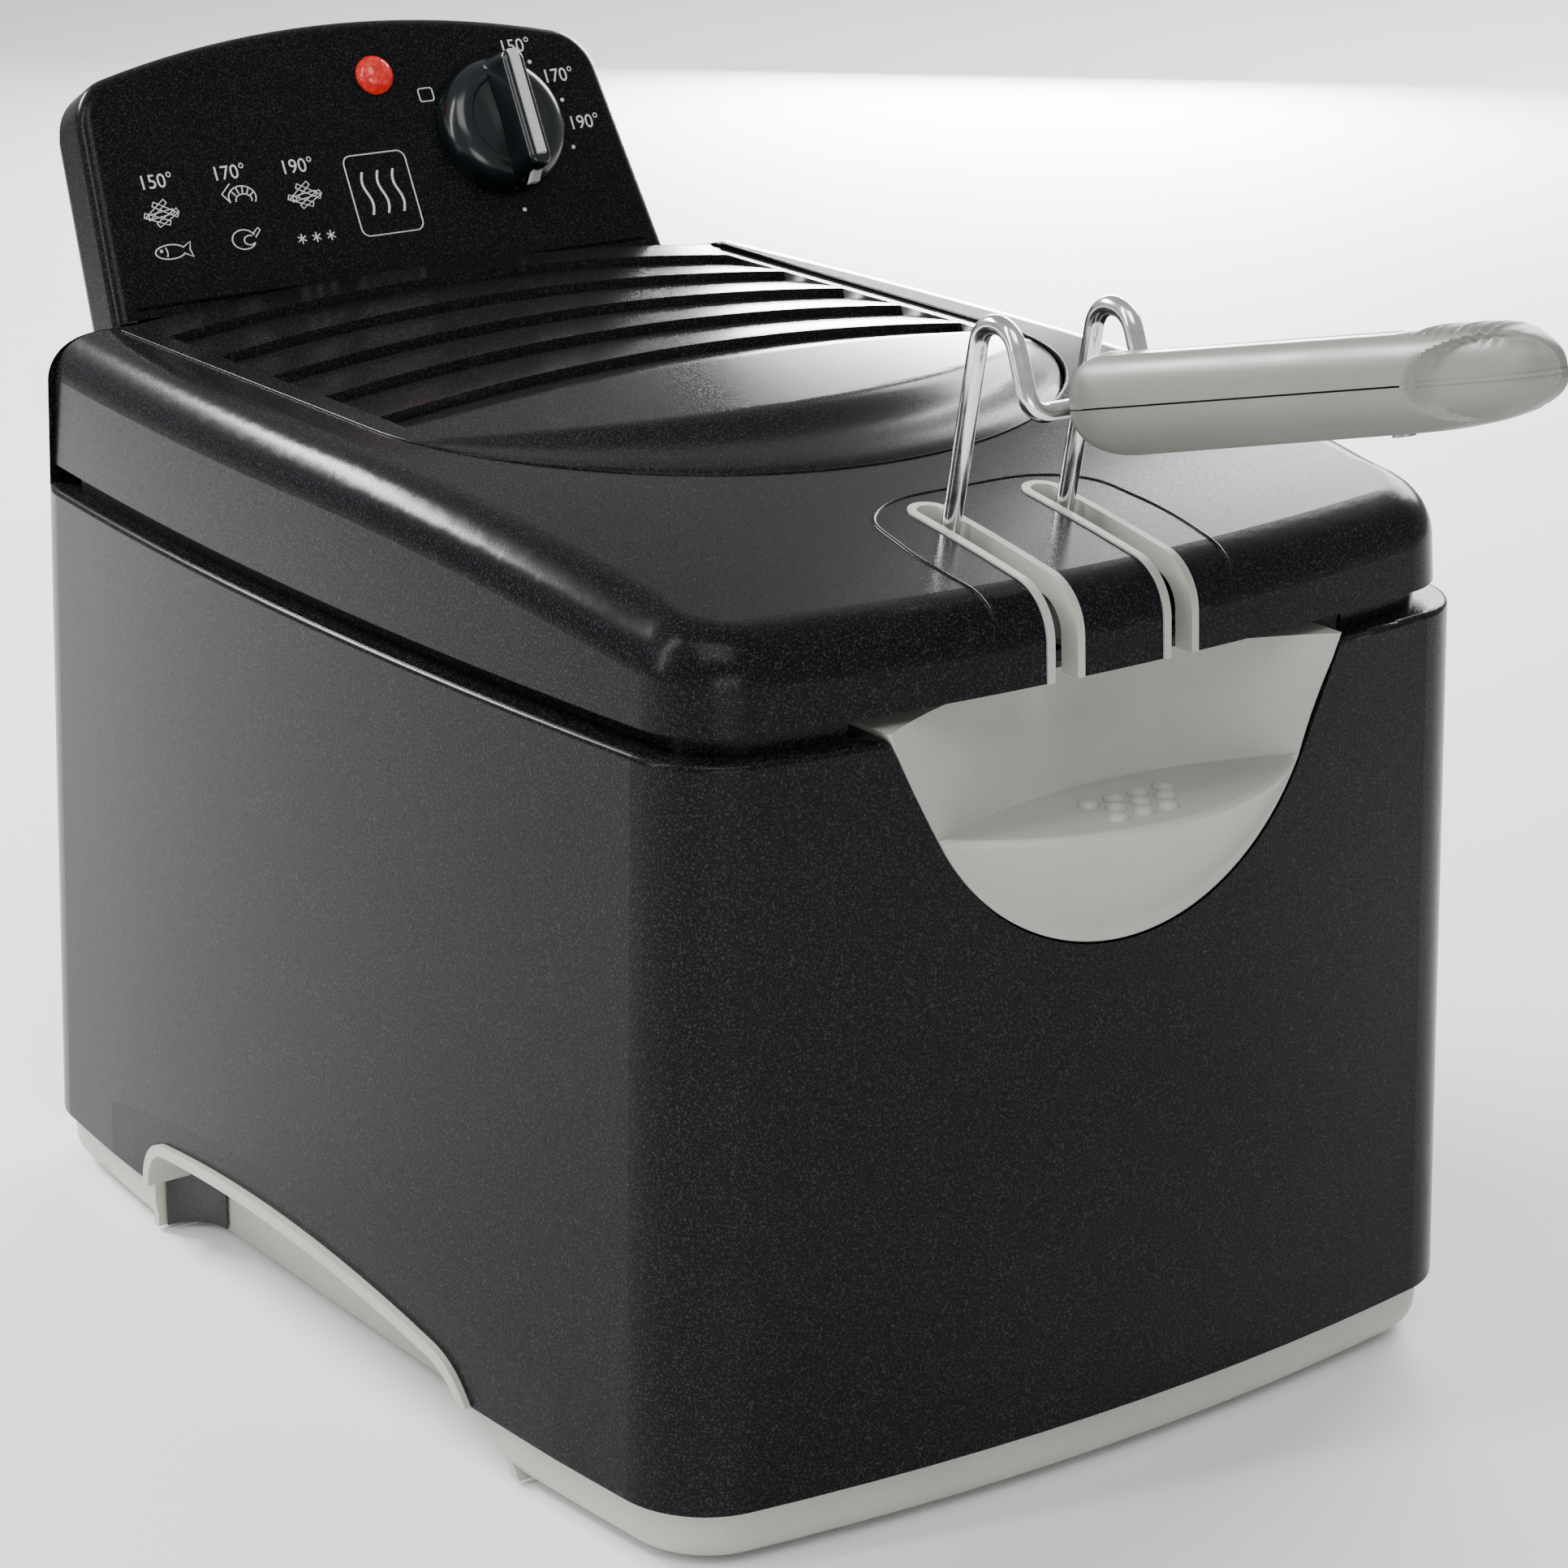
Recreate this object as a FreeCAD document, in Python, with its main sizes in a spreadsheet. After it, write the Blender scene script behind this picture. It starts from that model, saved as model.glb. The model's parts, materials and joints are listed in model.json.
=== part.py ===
import FreeCAD, Part
import math
import os

import PartDesign
import Sketcher
from FreeCAD import Placement, Rotation, Vector

# Household deep fryer, modelled in millimetres. The origin is on the worktop under the middle of
# the outer housing. +Z is up, the front of the fryer faces -Y and +X is to the right seen from the
# front. Each sub-part is one document object, named in NODES and written to parts/NAME.step.

DIMENSIONS = {
    # outer housing
    "shell_width": 260.0,
    "shell_depth": 330.0,
    "seam_height": 201.0,
    "shell_low": 16.4,
    "side_bow": 9.8,
    "front_bow": 12.0,
    "shell_corner": 24.5,
    "shell_wall": 3.0,
    "shell_lean": 0.025,
    "rim_top": 241.0,
    "rim_front": 153.0,
    "rim_rounding": 12.0,
    # lid
    "lid_low": 206.0,
    "lid_inset": 3.2,
    "lid_lean": 0.06,
    "lid_rear": 152.0,
    "lid_top": 243.0,
    "lid_front_top": 228.5,
    "lid_wall": 2.6,
    "lid_rounding": 14.0,
    "lid_hinge_back": 144.0,
    "lid_hinge_up": 235.0,
    # filter cover
    "cover_side": 100.5,
    "cover_reach": 87.0,
    "cover_middle": 10.0,
    "cover_back": 151.2,
    "cover_crown": 5.0,
    "crown_half": 93.0,
    "cover_seam": 0.7,
    # slots for the handle wires
    "wire_offset": 17.7,
    "wire_size": 4.8,
    "slot_inner": 6.6,
    "slot_outer": 11.0,
    "slot_rear": 103.9,
    # control unit
    "panel_tilt": 28.5,
    "panel_foot_back": 160.5,
    "panel_foot_up": 243.0,
    "panel_low_width": 186.0,
    "panel_top_width": 173.0,
    "panel_side": 66.0,
    "panel_crown": 12.0,
    "panel_thick": 15.0,
    "tube_rise": 8.5,
    "knob_across": 46.0,
    "knob_along": 39.8,
    "knob_size": 20.5,
    "lens_across": 9.4,
    "lens_along": 59.9,
    "lens_size": 5.8,
    # pan, basket and element
    "pan_half": 108.0,
    "pan_front": 134.0,
    "pan_rear": 128.0,
    "pan_floor": 42.0,
    "pan_wall": 1.0,
    "basket_half": 84.0,
    "basket_front": 93.0,
    "basket_rear": 92.0,
    "basket_floor": 78.0,
    "basket_rim": 152.0,
    "element_up": 60.0,
    "element_size": 3.5,
    # front grip
    "bowl_size": 62.7,
    "bowl_up": 202.7,
    "bowl_bulge": 21.0,
    "grip_face": 163.0,
    "ledge_up": 174.5,
    "ledge_sunk": 12.0,
    # carrying recesses in the base
    "arch_middle": 20.0,
    "arch_up": 35.6,
    "arch_radius": 425.0,
    "arch_front": 81.0,
    "arch_front_corner": 25.0,
    "arch_rear": 58.0,
    "arch_rear_corner": 14.0,
    "arch_slope": 50.0,
    "recess_in": 113.0,
    "band_up": 45.5,
    "band_radius": 477.0,
    "band_half": 112.0,
    "band_sunk": 1.2,
    # grip of the basket handle
    "grip_back": 149.6,
    "grip_up": 267.0,
    "grip_tilt": 14.2,
    "grip_length": 149.0,
    "grip_width": 22.0,
    "grip_height": 23.6,
}

doc = FreeCAD.newDocument("DeepFryer")
sheet = doc.addObject("Spreadsheet::Sheet", "Dims")
for line, (word, number) in enumerate(DIMENSIONS.items(), start=1):
    sheet.set("A%d" % line, word)
    sheet.set("B%d" % line, str(number))
    sheet.setAlias("B%d" % line, word)
doc.recompute()

NODES = {}
BASE_SCREWS = [(x, y) for x in (-70, 70) for y in (-105, 98)]
GRIP_SCREWS = (-40, -100)
GRIP_BORE = 3.1
BIG = 400.0
SIDE_RADIUS = "($shell_depth^2/8/$side_bow + $side_bow/2)"
FRONT_RADIUS = "($shell_width^2/8/$front_bow + $front_bow/2)"
YZ_TURN = Rotation(Vector(1, 1, 1), 120)
XZ_TURN = Rotation(Vector(1, 0, 0), 90)


def text(value):
    """An expression, in which $word is a cell of the sheet, as FreeCAD writes it."""
    return str(value).replace("$", "Dims.")


def num(value):
    """The number that an expression has now."""
    result = sheet.evalExpression(text(value))
    return float(getattr(result, "Value", result))


def bind(thing, **sizes):
    """Ties properties of a document object to expressions on the sheet."""
    for prop, value in sizes.items():
        thing.setExpression(prop, text(value))
    return thing


def place(thing, x=0, y=0, z=0, turn=None):
    """Puts an object at a place tied to the sheet, turned by a fixed rotation."""
    if turn is not None:
        thing.Placement = Placement(Vector(0, 0, 0), turn)
    for axis, value in (("x", x), ("y", y), ("z", z)):
        thing.setExpression(".Placement.Base." + axis, text(value))
    return thing


def tilt_to(thing, spot, turn):
    """Puts an object at a computed place instead of one tied to the sheet."""
    for axis in "xyz":
        thing.setExpression(".Placement.Base." + axis, None)
    thing.Placement = Placement(spot, turn)
    return thing


def node(thing, label):
    """Names a finished sub-part."""
    thing.Label = label
    NODES[label] = thing
    return thing


# ---------------------------------------------------------------- primitives and booleans

def box(name, low, high):
    """An upright block between two corners given as expressions."""
    made = doc.addObject("Part::Box", name)
    spans = ["(%s) - (%s)" % (b, a) for a, b in zip(low, high)]
    bind(made, Length=spans[0], Width=spans[1], Height=spans[2])
    return place(made, *low)


def cylinder(name, radius, height, x=0, y=0, z=0, turn=None):
    made = bind(doc.addObject("Part::Cylinder", name), Radius=radius, Height=height)
    return place(made, x, y, z, turn)


def cone(name, low_radius, high_radius, height, x=0, y=0, z=0, turn=None):
    made = bind(doc.addObject("Part::Cone", name), Radius1=low_radius, Radius2=high_radius, Height=height)
    return place(made, x, y, z, turn)


def sphere(name, radius, x=0, y=0, z=0):
    made = bind(doc.addObject("Part::Sphere", name), Radius=radius)
    return place(made, x, y, z)


def cut(name, base, tool):
    made = doc.addObject("Part::Cut", name)
    made.Base = base
    made.Tool = tool
    return made


def common(name, base, tool):
    made = doc.addObject("Part::Common", name)
    made.Base = base
    made.Tool = tool
    return made


def fuse(name, pieces):
    made = doc.addObject("Part::MultiFuse", name)
    made.Shapes = pieces
    return made


def cut_all(name, base, tools):
    """Cuts several tools from a base, one after another."""
    for number, tool in enumerate(tools):
        base = cut("%s_%d" % (name, number), base, tool)
    return base


def rounded(name, base, radius, wanted):
    """Rounds the edges of a base for which wanted(edge) is true."""
    doc.recompute()
    picks = [i for i, edge in enumerate(base.Shape.Edges, start=1) if wanted(edge)]
    if not picks:
        raise RuntimeError("no edge to round on " + name)
    made = doc.addObject("Part::Fillet", name)
    made.Base = base
    made.Edges = [(i, num(radius), num(radius)) for i in picks]
    return made


def upright(edge):
    """True for an edge that runs mostly along Z."""
    size = edge.BoundBox
    return size.ZLength > 2.5 * max(size.XLength, size.YLength)


def at_height(level, slack=0.05):
    def test(edge):
        return abs(edge.BoundBox.ZMin - level) < slack and abs(edge.BoundBox.ZMax - level) < slack
    return test


def profile(name, turn, start, steps):
    """A closed sketch of lines and three-point arcs. Each step is a point, or a middle and an end."""
    made = doc.addObject("Sketcher::SketchObject", name)
    made.Placement = Placement(Vector(0, 0, 0), turn)
    here = Vector(num(start[0]), num(start[1]), 0)
    first = here
    for step in steps:
        if len(step) == 2:
            there = Vector(num(step[0]), num(step[1]), 0)
            made.addGeometry(Part.LineSegment(here, there))
        else:
            middle = Vector(num(step[0]), num(step[1]), 0)
            there = Vector(num(step[2]), num(step[3]), 0)
            made.addGeometry(Part.Arc(here, middle, there))
        here = there
    if (here - first).Length > 1e-6:
        made.addGeometry(Part.LineSegment(here, first))
    return made


def prism(name, sketch, direction, ahead, behind=0):
    made = doc.addObject("Part::Extrusion", name)
    made.Base = sketch
    made.DirMode = "Custom"
    made.Dir = Vector(*direction)
    made.Solid = True
    return bind(made, LengthFwd=ahead, LengthRev=behind)


def bowed_block(name, inset, low, high, rear, corner, lean):
    """A block with the fryer's plan: bowed front and sides, round corners and leaning walls."""
    tall = "(%s) - (%s)" % (high, low)

    def reach(radius, level):
        return "%s - (%s) + (%s)*($seam_height - (%s))" % (radius, inset, lean, level)

    side_at = "$shell_width/2 - " + SIDE_RADIUS
    side_radii = (reach(SIDE_RADIUS, low), reach(SIDE_RADIUS, high), tall)
    front_radii = (reach(FRONT_RADIUS, low), reach(FRONT_RADIUS, high), tall)
    right = cone(name + "_right", *side_radii, x=side_at, z=low)
    left = cone(name + "_left", *side_radii, x="-(%s)" % side_at, z=low)
    front = cone(name + "_front", *front_radii, y=FRONT_RADIUS + " - $shell_depth/2", z=low)
    hull = box(name + "_hull", (-BIG, -BIG, low), (BIG, rear, high))
    made = common(name + "_sides", right, left)
    made = common(name + "_bow", made, front)
    made = common(name + "_block", made, hull)
    if corner is None:
        return made
    return rounded(name, made, corner, upright)


def round_box(name, low, high, corner):
    """A block with round upright corners."""
    return rounded(name, box(name + "_box", low, high), corner, upright)


def revolved(name, points, x=0, y=0, z=0, turn=None):
    """A turned piece: the outline (radius, height) about its own Z axis."""
    sketch = profile(name + "_outline", XZ_TURN, points[0], points[1:])
    made = doc.addObject("Part::Revolution", name)
    made.Source = sketch
    made.Axis = Vector(0, 0, 1)
    made.Angle = 360
    made.Solid = True
    return place(made, x, y, z, turn)


def bent_wire(points, radii):
    """A wire of straight runs joined by tangent arcs."""
    spots = [Vector(*[num(c) for c in p]) for p in points]
    edges = []
    here = spots[0]
    for before, corner, after, radius in zip(spots, spots[1:], spots[2:], radii):
        back = (before - corner).normalize()
        ahead = (after - corner).normalize()
        half = back.getAngle(ahead) / 2
        run = radius / math.tan(half)
        centre = corner + (back + ahead).normalize() * (radius / math.sin(half))
        enter = corner + back * run
        leave = corner + ahead * run
        middle = centre + (corner - centre).normalize() * radius
        edges.append(Part.LineSegment(here, enter).toShape())
        edges.append(Part.Arc(enter, middle, leave).toShape())
        here = leave
    edges.append(Part.LineSegment(here, spots[-1]).toShape())
    return Part.Wire(edges)


def rod(name, points, radii, radius):
    """A round bar swept along a bent wire."""
    path = doc.addObject("Part::Feature", name + "_path")
    path.Shape = bent_wire(points, radii)
    first = path.Shape.Edges[0]
    ring = doc.addObject("Part::Circle", name + "_section")
    bind(ring, Radius=radius)
    along = first.tangentAt(first.FirstParameter)
    ring.Placement = Placement(first.valueAt(first.FirstParameter), Rotation(Vector(0, 0, 1), along))
    made = doc.addObject("Part::Sweep", name)
    made.Sections = [ring]
    made.Spine = (path, ["Edge%d" % (i + 1) for i in range(len(path.Shape.Edges))])
    made.Solid = True
    made.Frenet = False
    return made


def group(name, shapes):
    """Separate identical solids kept together as one piece of the list."""
    made = doc.addObject("Part::Compound", name)
    made.Links = shapes
    return made


# ---------------------------------------------------------------- outer housing

def arch(name, grow, low_x, high_x):
    """A prism along X with the outline of a carrying recess: a flat arch that slopes down in front."""
    radius = num("$arch_radius")
    middle = Vector(num("$arch_middle"), num("$arch_up") - radius, 0)
    slope = math.radians(num("$arch_slope"))

    def corner(reach, size):
        """The centre of a corner arc that touches the top arc at a distance from its middle."""
        outward = Vector(reach, math.sqrt(radius ** 2 - reach ** 2), 0).normalize()
        return middle + outward * (radius - num(size)), outward, num(size) + grow

    front, front_out, front_size = corner(-num("$arch_front"), "$arch_front_corner")
    rear, rear_out, rear_size = corner(num("$arch_rear"), "$arch_rear_corner")
    slope_out = Vector(-math.sin(slope), math.cos(slope), 0)
    front_end = front + slope_out * front_size
    front_bend = front + (slope_out + front_out).normalize() * front_size
    front_start = front + front_out * front_size
    rear_start = rear + rear_out * rear_size
    rear_bend = rear + (rear_out + Vector(1, 0, 0)).normalize() * rear_size
    low = -10.0
    run = (front_end.y - low) / math.tan(slope)
    top = (middle.x, middle.y + radius + grow)
    outline = profile(name + "_outline", YZ_TURN, (front_end.x - run, low), [
        (front_end.x, front_end.y), (front_bend.x, front_bend.y, front_start.x, front_start.y),
        (*top, rear_start.x, rear_start.y), (rear_bend.x, rear_bend.y, rear.x + rear_size, rear.y),
        (rear.x + rear_size, low)])
    return prism(name, outline, (1, 0, 0), high_x, "-(%s)" % low_x)


def sunk_band(side, word):
    """The shallow band over a carrying recess, deepest in the middle and fading out at its ends."""
    shell_radius = num(SIDE_RADIUS)
    half = num("$band_half")
    sunk = num("$band_sunk")
    radius = 1 / (1 / shell_radius - 2 * sunk / half ** 2)
    high = 60.0
    lean = num("$shell_lean")
    radii = [radius + lean * (num("$seam_height") - level) for level in (0, high)]
    skin = cone("band_skin_" + word, *radii, high, x=side * (num("$shell_width") / 2 - sunk - radius), z=0)
    low_x, high_x = sorted((side * 118, side * 150))
    block = box("band_block_" + word, (low_x, -half, 0), (high_x, half, high))
    arc = cylinder("band_arc_" + word, "$band_radius", 2 * BIG, x=-BIG, z="$band_up - $band_radius",
                   turn=Rotation(Vector(0, 1, 0), 90))
    return common("band_" + word, cut("band_ring_" + word, block, skin), arc)


def crescent(name, grow, front, back):
    """A prism through the front wall with the outline of the front grip."""
    size = num("$bowl_size") + grow
    up = num("$bowl_up")
    touch = math.radians(26.7)
    side_x = size * math.cos(touch)
    side_z = up - size * math.sin(touch)
    top = num("$seam_height") + 10
    top_x = side_x + (top - side_z) * math.tan(touch)
    outline = profile(
        name + "_outline", XZ_TURN, (-top_x, top),
        [(-side_x, side_z), (0, up - size, side_x, side_z), (top_x, top)])
    return prism(name, outline, (0, 1, 0), "-(%s)" % back, front)


def outer_housing():
    whole = bowed_block("shell_whole", 0, "$shell_low", "$rim_top", "$shell_depth/2",
                        "$shell_corner", "$shell_lean")
    whole = rounded("shell_shoulder", whole, "$rim_rounding", at_height(num("$rim_top")))
    above = box("shell_above", (-BIG, -BIG, "$seam_height"), (BIG, "$rim_front", BIG))
    body = cut("shell_stepped", whole, above)
    doc.recompute()

    def step_edge(edge):
        box_of = edge.BoundBox
        flat = at_height(num("$seam_height"))(edge)
        return flat and box_of.YMin < num("$rim_front") - 1

    body = rounded("shell_soft_edge", body, 1.6, step_edge)
    hollow = bowed_block("shell_hollow", "$shell_wall", "$shell_low - 5", "$seam_height - 3",
                         "$shell_depth/2 - $shell_wall", "$shell_corner - $shell_wall", "$shell_lean")
    mouth = round_box("shell_mouth", ("-$pan_half - 1.5", "-$pan_front - 1.5", 150),
                      ("$pan_half + 1.5", "$pan_rear + 1.5", BIG), 25)
    neck_gap = box("shell_neck_gap", (-88, "$rim_front - 2", "$seam_height + 1"), (88, BIG, BIG))
    side_cut = arch("shell_arch", 0, -BIG, BIG)
    bands = [sunk_band(-1, "left"), sunk_band(1, "right")]
    front_hole = crescent("shell_front_hole", 0.6, BIG, "$shell_depth/2 - 27.5")
    tools = [hollow, mouth, neck_gap, side_cut, front_hole] + bands
    return node(cut_all("outer_housing", body, tools), "outer_housing")


def base_tray():
    low = 1.5
    outer = bowed_block("base_outer", -1.6, low, "$shell_low - 0.4", "$shell_depth/2 - 2", 24, 0)
    outer = rounded("base_soft", outer, 7, at_height(low))
    inner = bowed_block("base_inner", 4.5, low + 2.5, 40, "$shell_depth/2 - 8", 18, 0)
    tray = cut("base_tray_shell", outer, inner)
    pieces = [tray]
    tools = []
    for side, word in ((-1, "left"), (1, "right")):
        wall = sorted((side * (num("$recess_in") - 2.5), side * 128))
        lining = arch("base_lining_form_" + word, 2.5, *wall)
        above = box("base_above_" + word, (-BIG, -BIG, low), (BIG, BIG, BIG))
        pieces.append(common("base_lining_" + word, lining, above))
        tools.append(arch("base_pocket_" + word, 0, *sorted((side * num("$recess_in"), side * 150))))
    body = fuse("base_body", pieces)
    for x, y in BASE_SCREWS:
        tools.append(cylinder("base_head_hole", 3.5, 3.0, x=x, y=y, z=0))
        tools.append(cylinder("base_shank_hole", 1.7, 10, x=x, y=y, z=0))
    return node(cut_all("base_tray", body, tools), "base_tray")


def grip_frame(side, word):
    """The arched light strip that lines the lower edge of the housing over a carrying recess."""
    span = sorted((side * 116.0, side * 160.0))
    ring = cut("frame_ring_" + word, arch("frame_outer_" + word, -0.3, *span),
               arch("frame_inner_" + word, -3.6, *span))
    skin = bowed_block("frame_skin_" + word, -0.9, "$shell_low - 0.2", 60, BIG, None, "$shell_lean")
    return node(common("frame_strip_" + word, ring, skin), word + "_grip_frame")


def front_grip():
    """The light grip under the lid's front: a ball-shaped bowl below a ledge, a hollow above it."""
    face = num("$grip_face")
    drop = num("$bowl_up - $ledge_up")
    half_chord = math.sqrt(num("$bowl_size") ** 2 - drop ** 2)
    bulge = num("$bowl_bulge")
    behind = (half_chord ** 2 - bulge ** 2) / 2 / bulge
    ball_size = math.hypot(behind, num("$bowl_size"))
    inner = bowed_block("front_grip_face", 0.4, 100, "$seam_height + 1.5", 0, None, "$shell_lean")
    outline = crescent("front_grip_prism", 0, BIG, "$shell_depth/2 - 25")
    plate = common("front_grip_plate", outline, inner)
    ball = sphere("front_grip_ball", ball_size, y=behind - face, z="$bowl_up")
    below = box("front_grip_below", (-BIG, -BIG, 100), (BIG, -150, "$ledge_up"))
    raw = common("front_grip_bowl_raw", ball, below)
    bowl = rounded("front_grip_bowl", raw, 1.6,
                   lambda edge: at_height(num("$ledge_up"))(edge) and edge.BoundBox.YMin < -170)
    hollow_ball = sphere("front_grip_inner", ball_size - 3, y=behind - face, z="$bowl_up")
    hollow_box = box("front_grip_hollow_box", (-BIG, -BIG, 100), (BIG, BIG, "$ledge_up - 3"))
    hollow = common("front_grip_hollow", hollow_ball, hollow_box)
    sunk = num("$ledge_sunk")
    ahead = (half_chord ** 2 - sunk ** 2) / 2 / sunk
    rise = 22.0
    recess_size = math.sqrt((ahead + sunk) ** 2 + (drop + rise) ** 2)
    recess_ball = sphere("front_grip_recess_form", recess_size, y=-face - ahead, z=num("$bowl_up") + rise)
    above = box("front_grip_above", (-BIG, -BIG, "$ledge_up"), (BIG, BIG, BIG))
    recess = common("front_grip_recess", recess_ball, above)
    body = fuse("front_grip_body", [plate, bowl])
    body = cut_all("front_grip_open", body, [hollow, recess])
    bumps = []
    rows = ((-163.5, (-11.5, -3.8, 3.8, 11.5)), (-169.0, (-7.6, 0.0, 7.6)), (-174.5, (-11.5, -3.8, 3.8)))
    for y, places in rows:
        for x in places:
            bumps.append(sphere("front_grip_bump", 3.2, x, y, "$ledge_up - 2.2"))
    whole = fuse("front_grip_whole", [body] + bumps)
    limit = crescent("front_grip_outline", 0, BIG, "$shell_depth/2 - 30")
    return node(common("front_grip", whole, limit), "front_grip")


# ---------------------------------------------------------------- pan, heat shield and element

def oil_pan():
    corner = 24
    outer = round_box("pan_outer", ("-$pan_half", "-$pan_front", "$pan_floor"),
                      ("$pan_half", "$pan_rear", "$seam_height"), corner)
    outer = rounded("pan_soft", outer, 14, at_height(num("$pan_floor")))
    inner = round_box("pan_inner",
                      ("-$pan_half + $pan_wall", "-$pan_front + $pan_wall", "$pan_floor + $pan_wall"),
                      ("$pan_half - $pan_wall", "$pan_rear - $pan_wall", BIG), corner - 1)
    inner = rounded("pan_inner_soft", inner, 13, at_height(num("$pan_floor + $pan_wall")))
    flange = round_box("pan_flange", ("-$pan_half - 7", "-$pan_front - 5.5", "$seam_height + 0.2"),
                       ("$pan_half + 7", "$pan_rear + 6", "$seam_height + 1.4"), corner + 4)
    collar = round_box("pan_collar", ("-$pan_half", "-$pan_front", "$seam_height - 1"),
                       ("$pan_half", "$pan_rear", "$seam_height + 1.4"), corner)
    return node(cut("oil_pan", fuse("pan_body", [outer, flange, collar]), inner), "oil_pan")


def heat_shield():
    """Thin sheet-metal sleeve between the pan and the outer housing."""
    outer = round_box("shield_outer", ("-$pan_half - 6", "-$pan_front - 5", 46),
                      ("$pan_half + 6", "$pan_rear + 12", "$seam_height - 5"), 27)
    inner = round_box("shield_inner", ("-$pan_half - 5.4", "-$pan_front - 4.4", 40),
                      ("$pan_half + 5.4", "$pan_rear + 11.4", BIG), 26.4)
    sleeve = cut("shield_sleeve", outer, inner)
    gap = crescent("shield_gap", 3, BIG, "$shell_depth/2 - 40")
    return node(cut("heat_shield", sleeve, gap), "heat_shield")


def heating_element():
    """One tube: down the rear wall, three runs to and fro over the pan floor, and up again."""
    up = num("$element_up")
    top = num("$seam_height") + 4
    rear = num("$pan_rear") - 14
    points = [(-22, rear, top - 10), (-22, rear, up), (-70, rear - 22, up), (-70, -104, up),
              (-32, -104, up), (-32, 66, up), (32, 66, up), (32, -104, up), (70, -104, up),
              (70, rear - 22, up), (22, rear, up), (22, rear, top - 10)]
    radii = (12, 14, 18, 18, 18, 18, 18, 18, 14, 12)
    return node(rod("heating_element", points, radii, "$element_size"), "heating_element")


def element_bracket():
    """Stainless neck that hangs the element from the control unit over the rear rim."""
    rear = "$pan_rear - 6"
    plate = box("neck_plate", (-40, rear, 84), (40, "$pan_rear - 4.8", "$seam_height + 4.2"))
    bridge = box("neck_bridge", (-40, rear, "$seam_height + 3"),
                 (40, "$panel_foot_back + 8", "$seam_height + 4.2"))
    clamp = box("neck_clamp", (-30, "$pan_rear - 21", 150), (30, rear, 151.2))
    made = fuse("neck_body", [plate, bridge, clamp])
    holes = []
    for side in (-1, 1):
        holes.append(cylinder("neck_hole", "$element_size + 0.05", 10, x=22 * side,
                              y="$pan_rear - 14", z=145))
    holes.append(cylinder("neck_tube_hole", 1.2, 10, y="$pan_rear - 10", z=145))
    return node(cut_all("element_bracket", made, holes), "element_bracket")


def sensors():
    turn = Rotation(Vector(1, 0, 0), 90)
    bulb = cylinder("bulb_body", 3.0, 86, x=0, y="$pan_rear - 26", z="$element_up + 14", turn=turn)
    node(rounded("thermostat_bulb", bulb, 1.4, lambda edge: edge.Curve.TypeId == "Part::GeomCircle"),
         "thermostat_bulb")
    rear = num("$pan_rear")
    up = num("$element_up") + 14
    level = num("$seam_height + $tube_rise")
    points = [(0, rear - 26, up), (0, rear - 10, up), (0, rear - 10, level),
              (0, num("$panel_foot_back") + 10, level)]
    node(rod("capillary_tube", points, (6, 6), 1.0), "capillary_tube")


# ---------------------------------------------------------------- control unit

PANEL_TURN = Rotation(Vector(1, 0, 0), 90 - num("$panel_tilt"))
PANEL_NORMAL = PANEL_TURN.multVec(Vector(0, 0, 1))


def on_panel(across, along, proud=0.0):
    """A point of the panel's own plane: across to the right, along up the slope, proud of it."""
    foot = Vector(0, num("$panel_foot_back"), num("$panel_foot_up"))
    return foot + PANEL_TURN.multVec(Vector(across, along, proud))


def knob_spot(proud=0.0):
    return on_panel(num("$knob_across"), num("$knob_along"), proud)


def lens_spot(proud=0.0):
    return on_panel(num("$lens_across"), num("$lens_along"), proud)


def panel_slab(name, grow, proud, thick):
    """The tilted slab of the control unit with its arched top edge."""
    low = num("$panel_low_width") / 2 + grow
    high = num("$panel_top_width") / 2 + grow
    side = num("$panel_side") + grow
    top = side + num("$panel_crown")
    foot = -2.4
    sketch = doc.addObject("Sketcher::SketchObject", name + "_outline")
    corners = [Vector(-low, foot, 0), Vector(low, foot, 0), Vector(high, side, 0), Vector(-high, side, 0)]
    sketch.addGeometry(Part.LineSegment(corners[0], corners[1]))
    sketch.addGeometry(Part.LineSegment(corners[1], corners[2]))
    sketch.addGeometry(Part.Arc(corners[2], Vector(0, top, 0), corners[3]))
    sketch.addGeometry(Part.LineSegment(corners[3], corners[0]))
    made = prism(name + "_slab", sketch, (0, 0, 1), thick)
    doc.recompute()
    moved = doc.addObject("Part::Feature", name + "_moved")
    moved.Shape = made.Shape.copy()
    moved.Placement = Placement(on_panel(0, 0, proud - num(thick)), PANEL_TURN)
    doc.recompute()
    return moved


def leaning(edge):
    """True for the slab's short edges, which run along the panel's normal."""
    if edge.Curve.TypeId != "Part::GeomLine":
        return False
    ends = edge.Vertexes[-1].Point - edge.Vertexes[0].Point
    return abs(ends.normalize().dot(PANEL_NORMAL)) > 0.99


def panel_corner(edge):
    return leaning(edge) and edge.CenterOfMass.z > num("$panel_foot_up") + 20


def on_face(proud):
    """True for an edge that lies on the panel's face at a given depth."""
    foot = on_panel(0, 0, proud)

    def test(edge):
        return all(abs((v.Point - foot).dot(PANEL_NORMAL)) < 0.05 for v in edge.Vertexes)
    return test


def panel_rim_edge(edge):
    return on_face(0)(edge) and edge.CenterOfMass.z > num("$panel_foot_up") + 1


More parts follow.
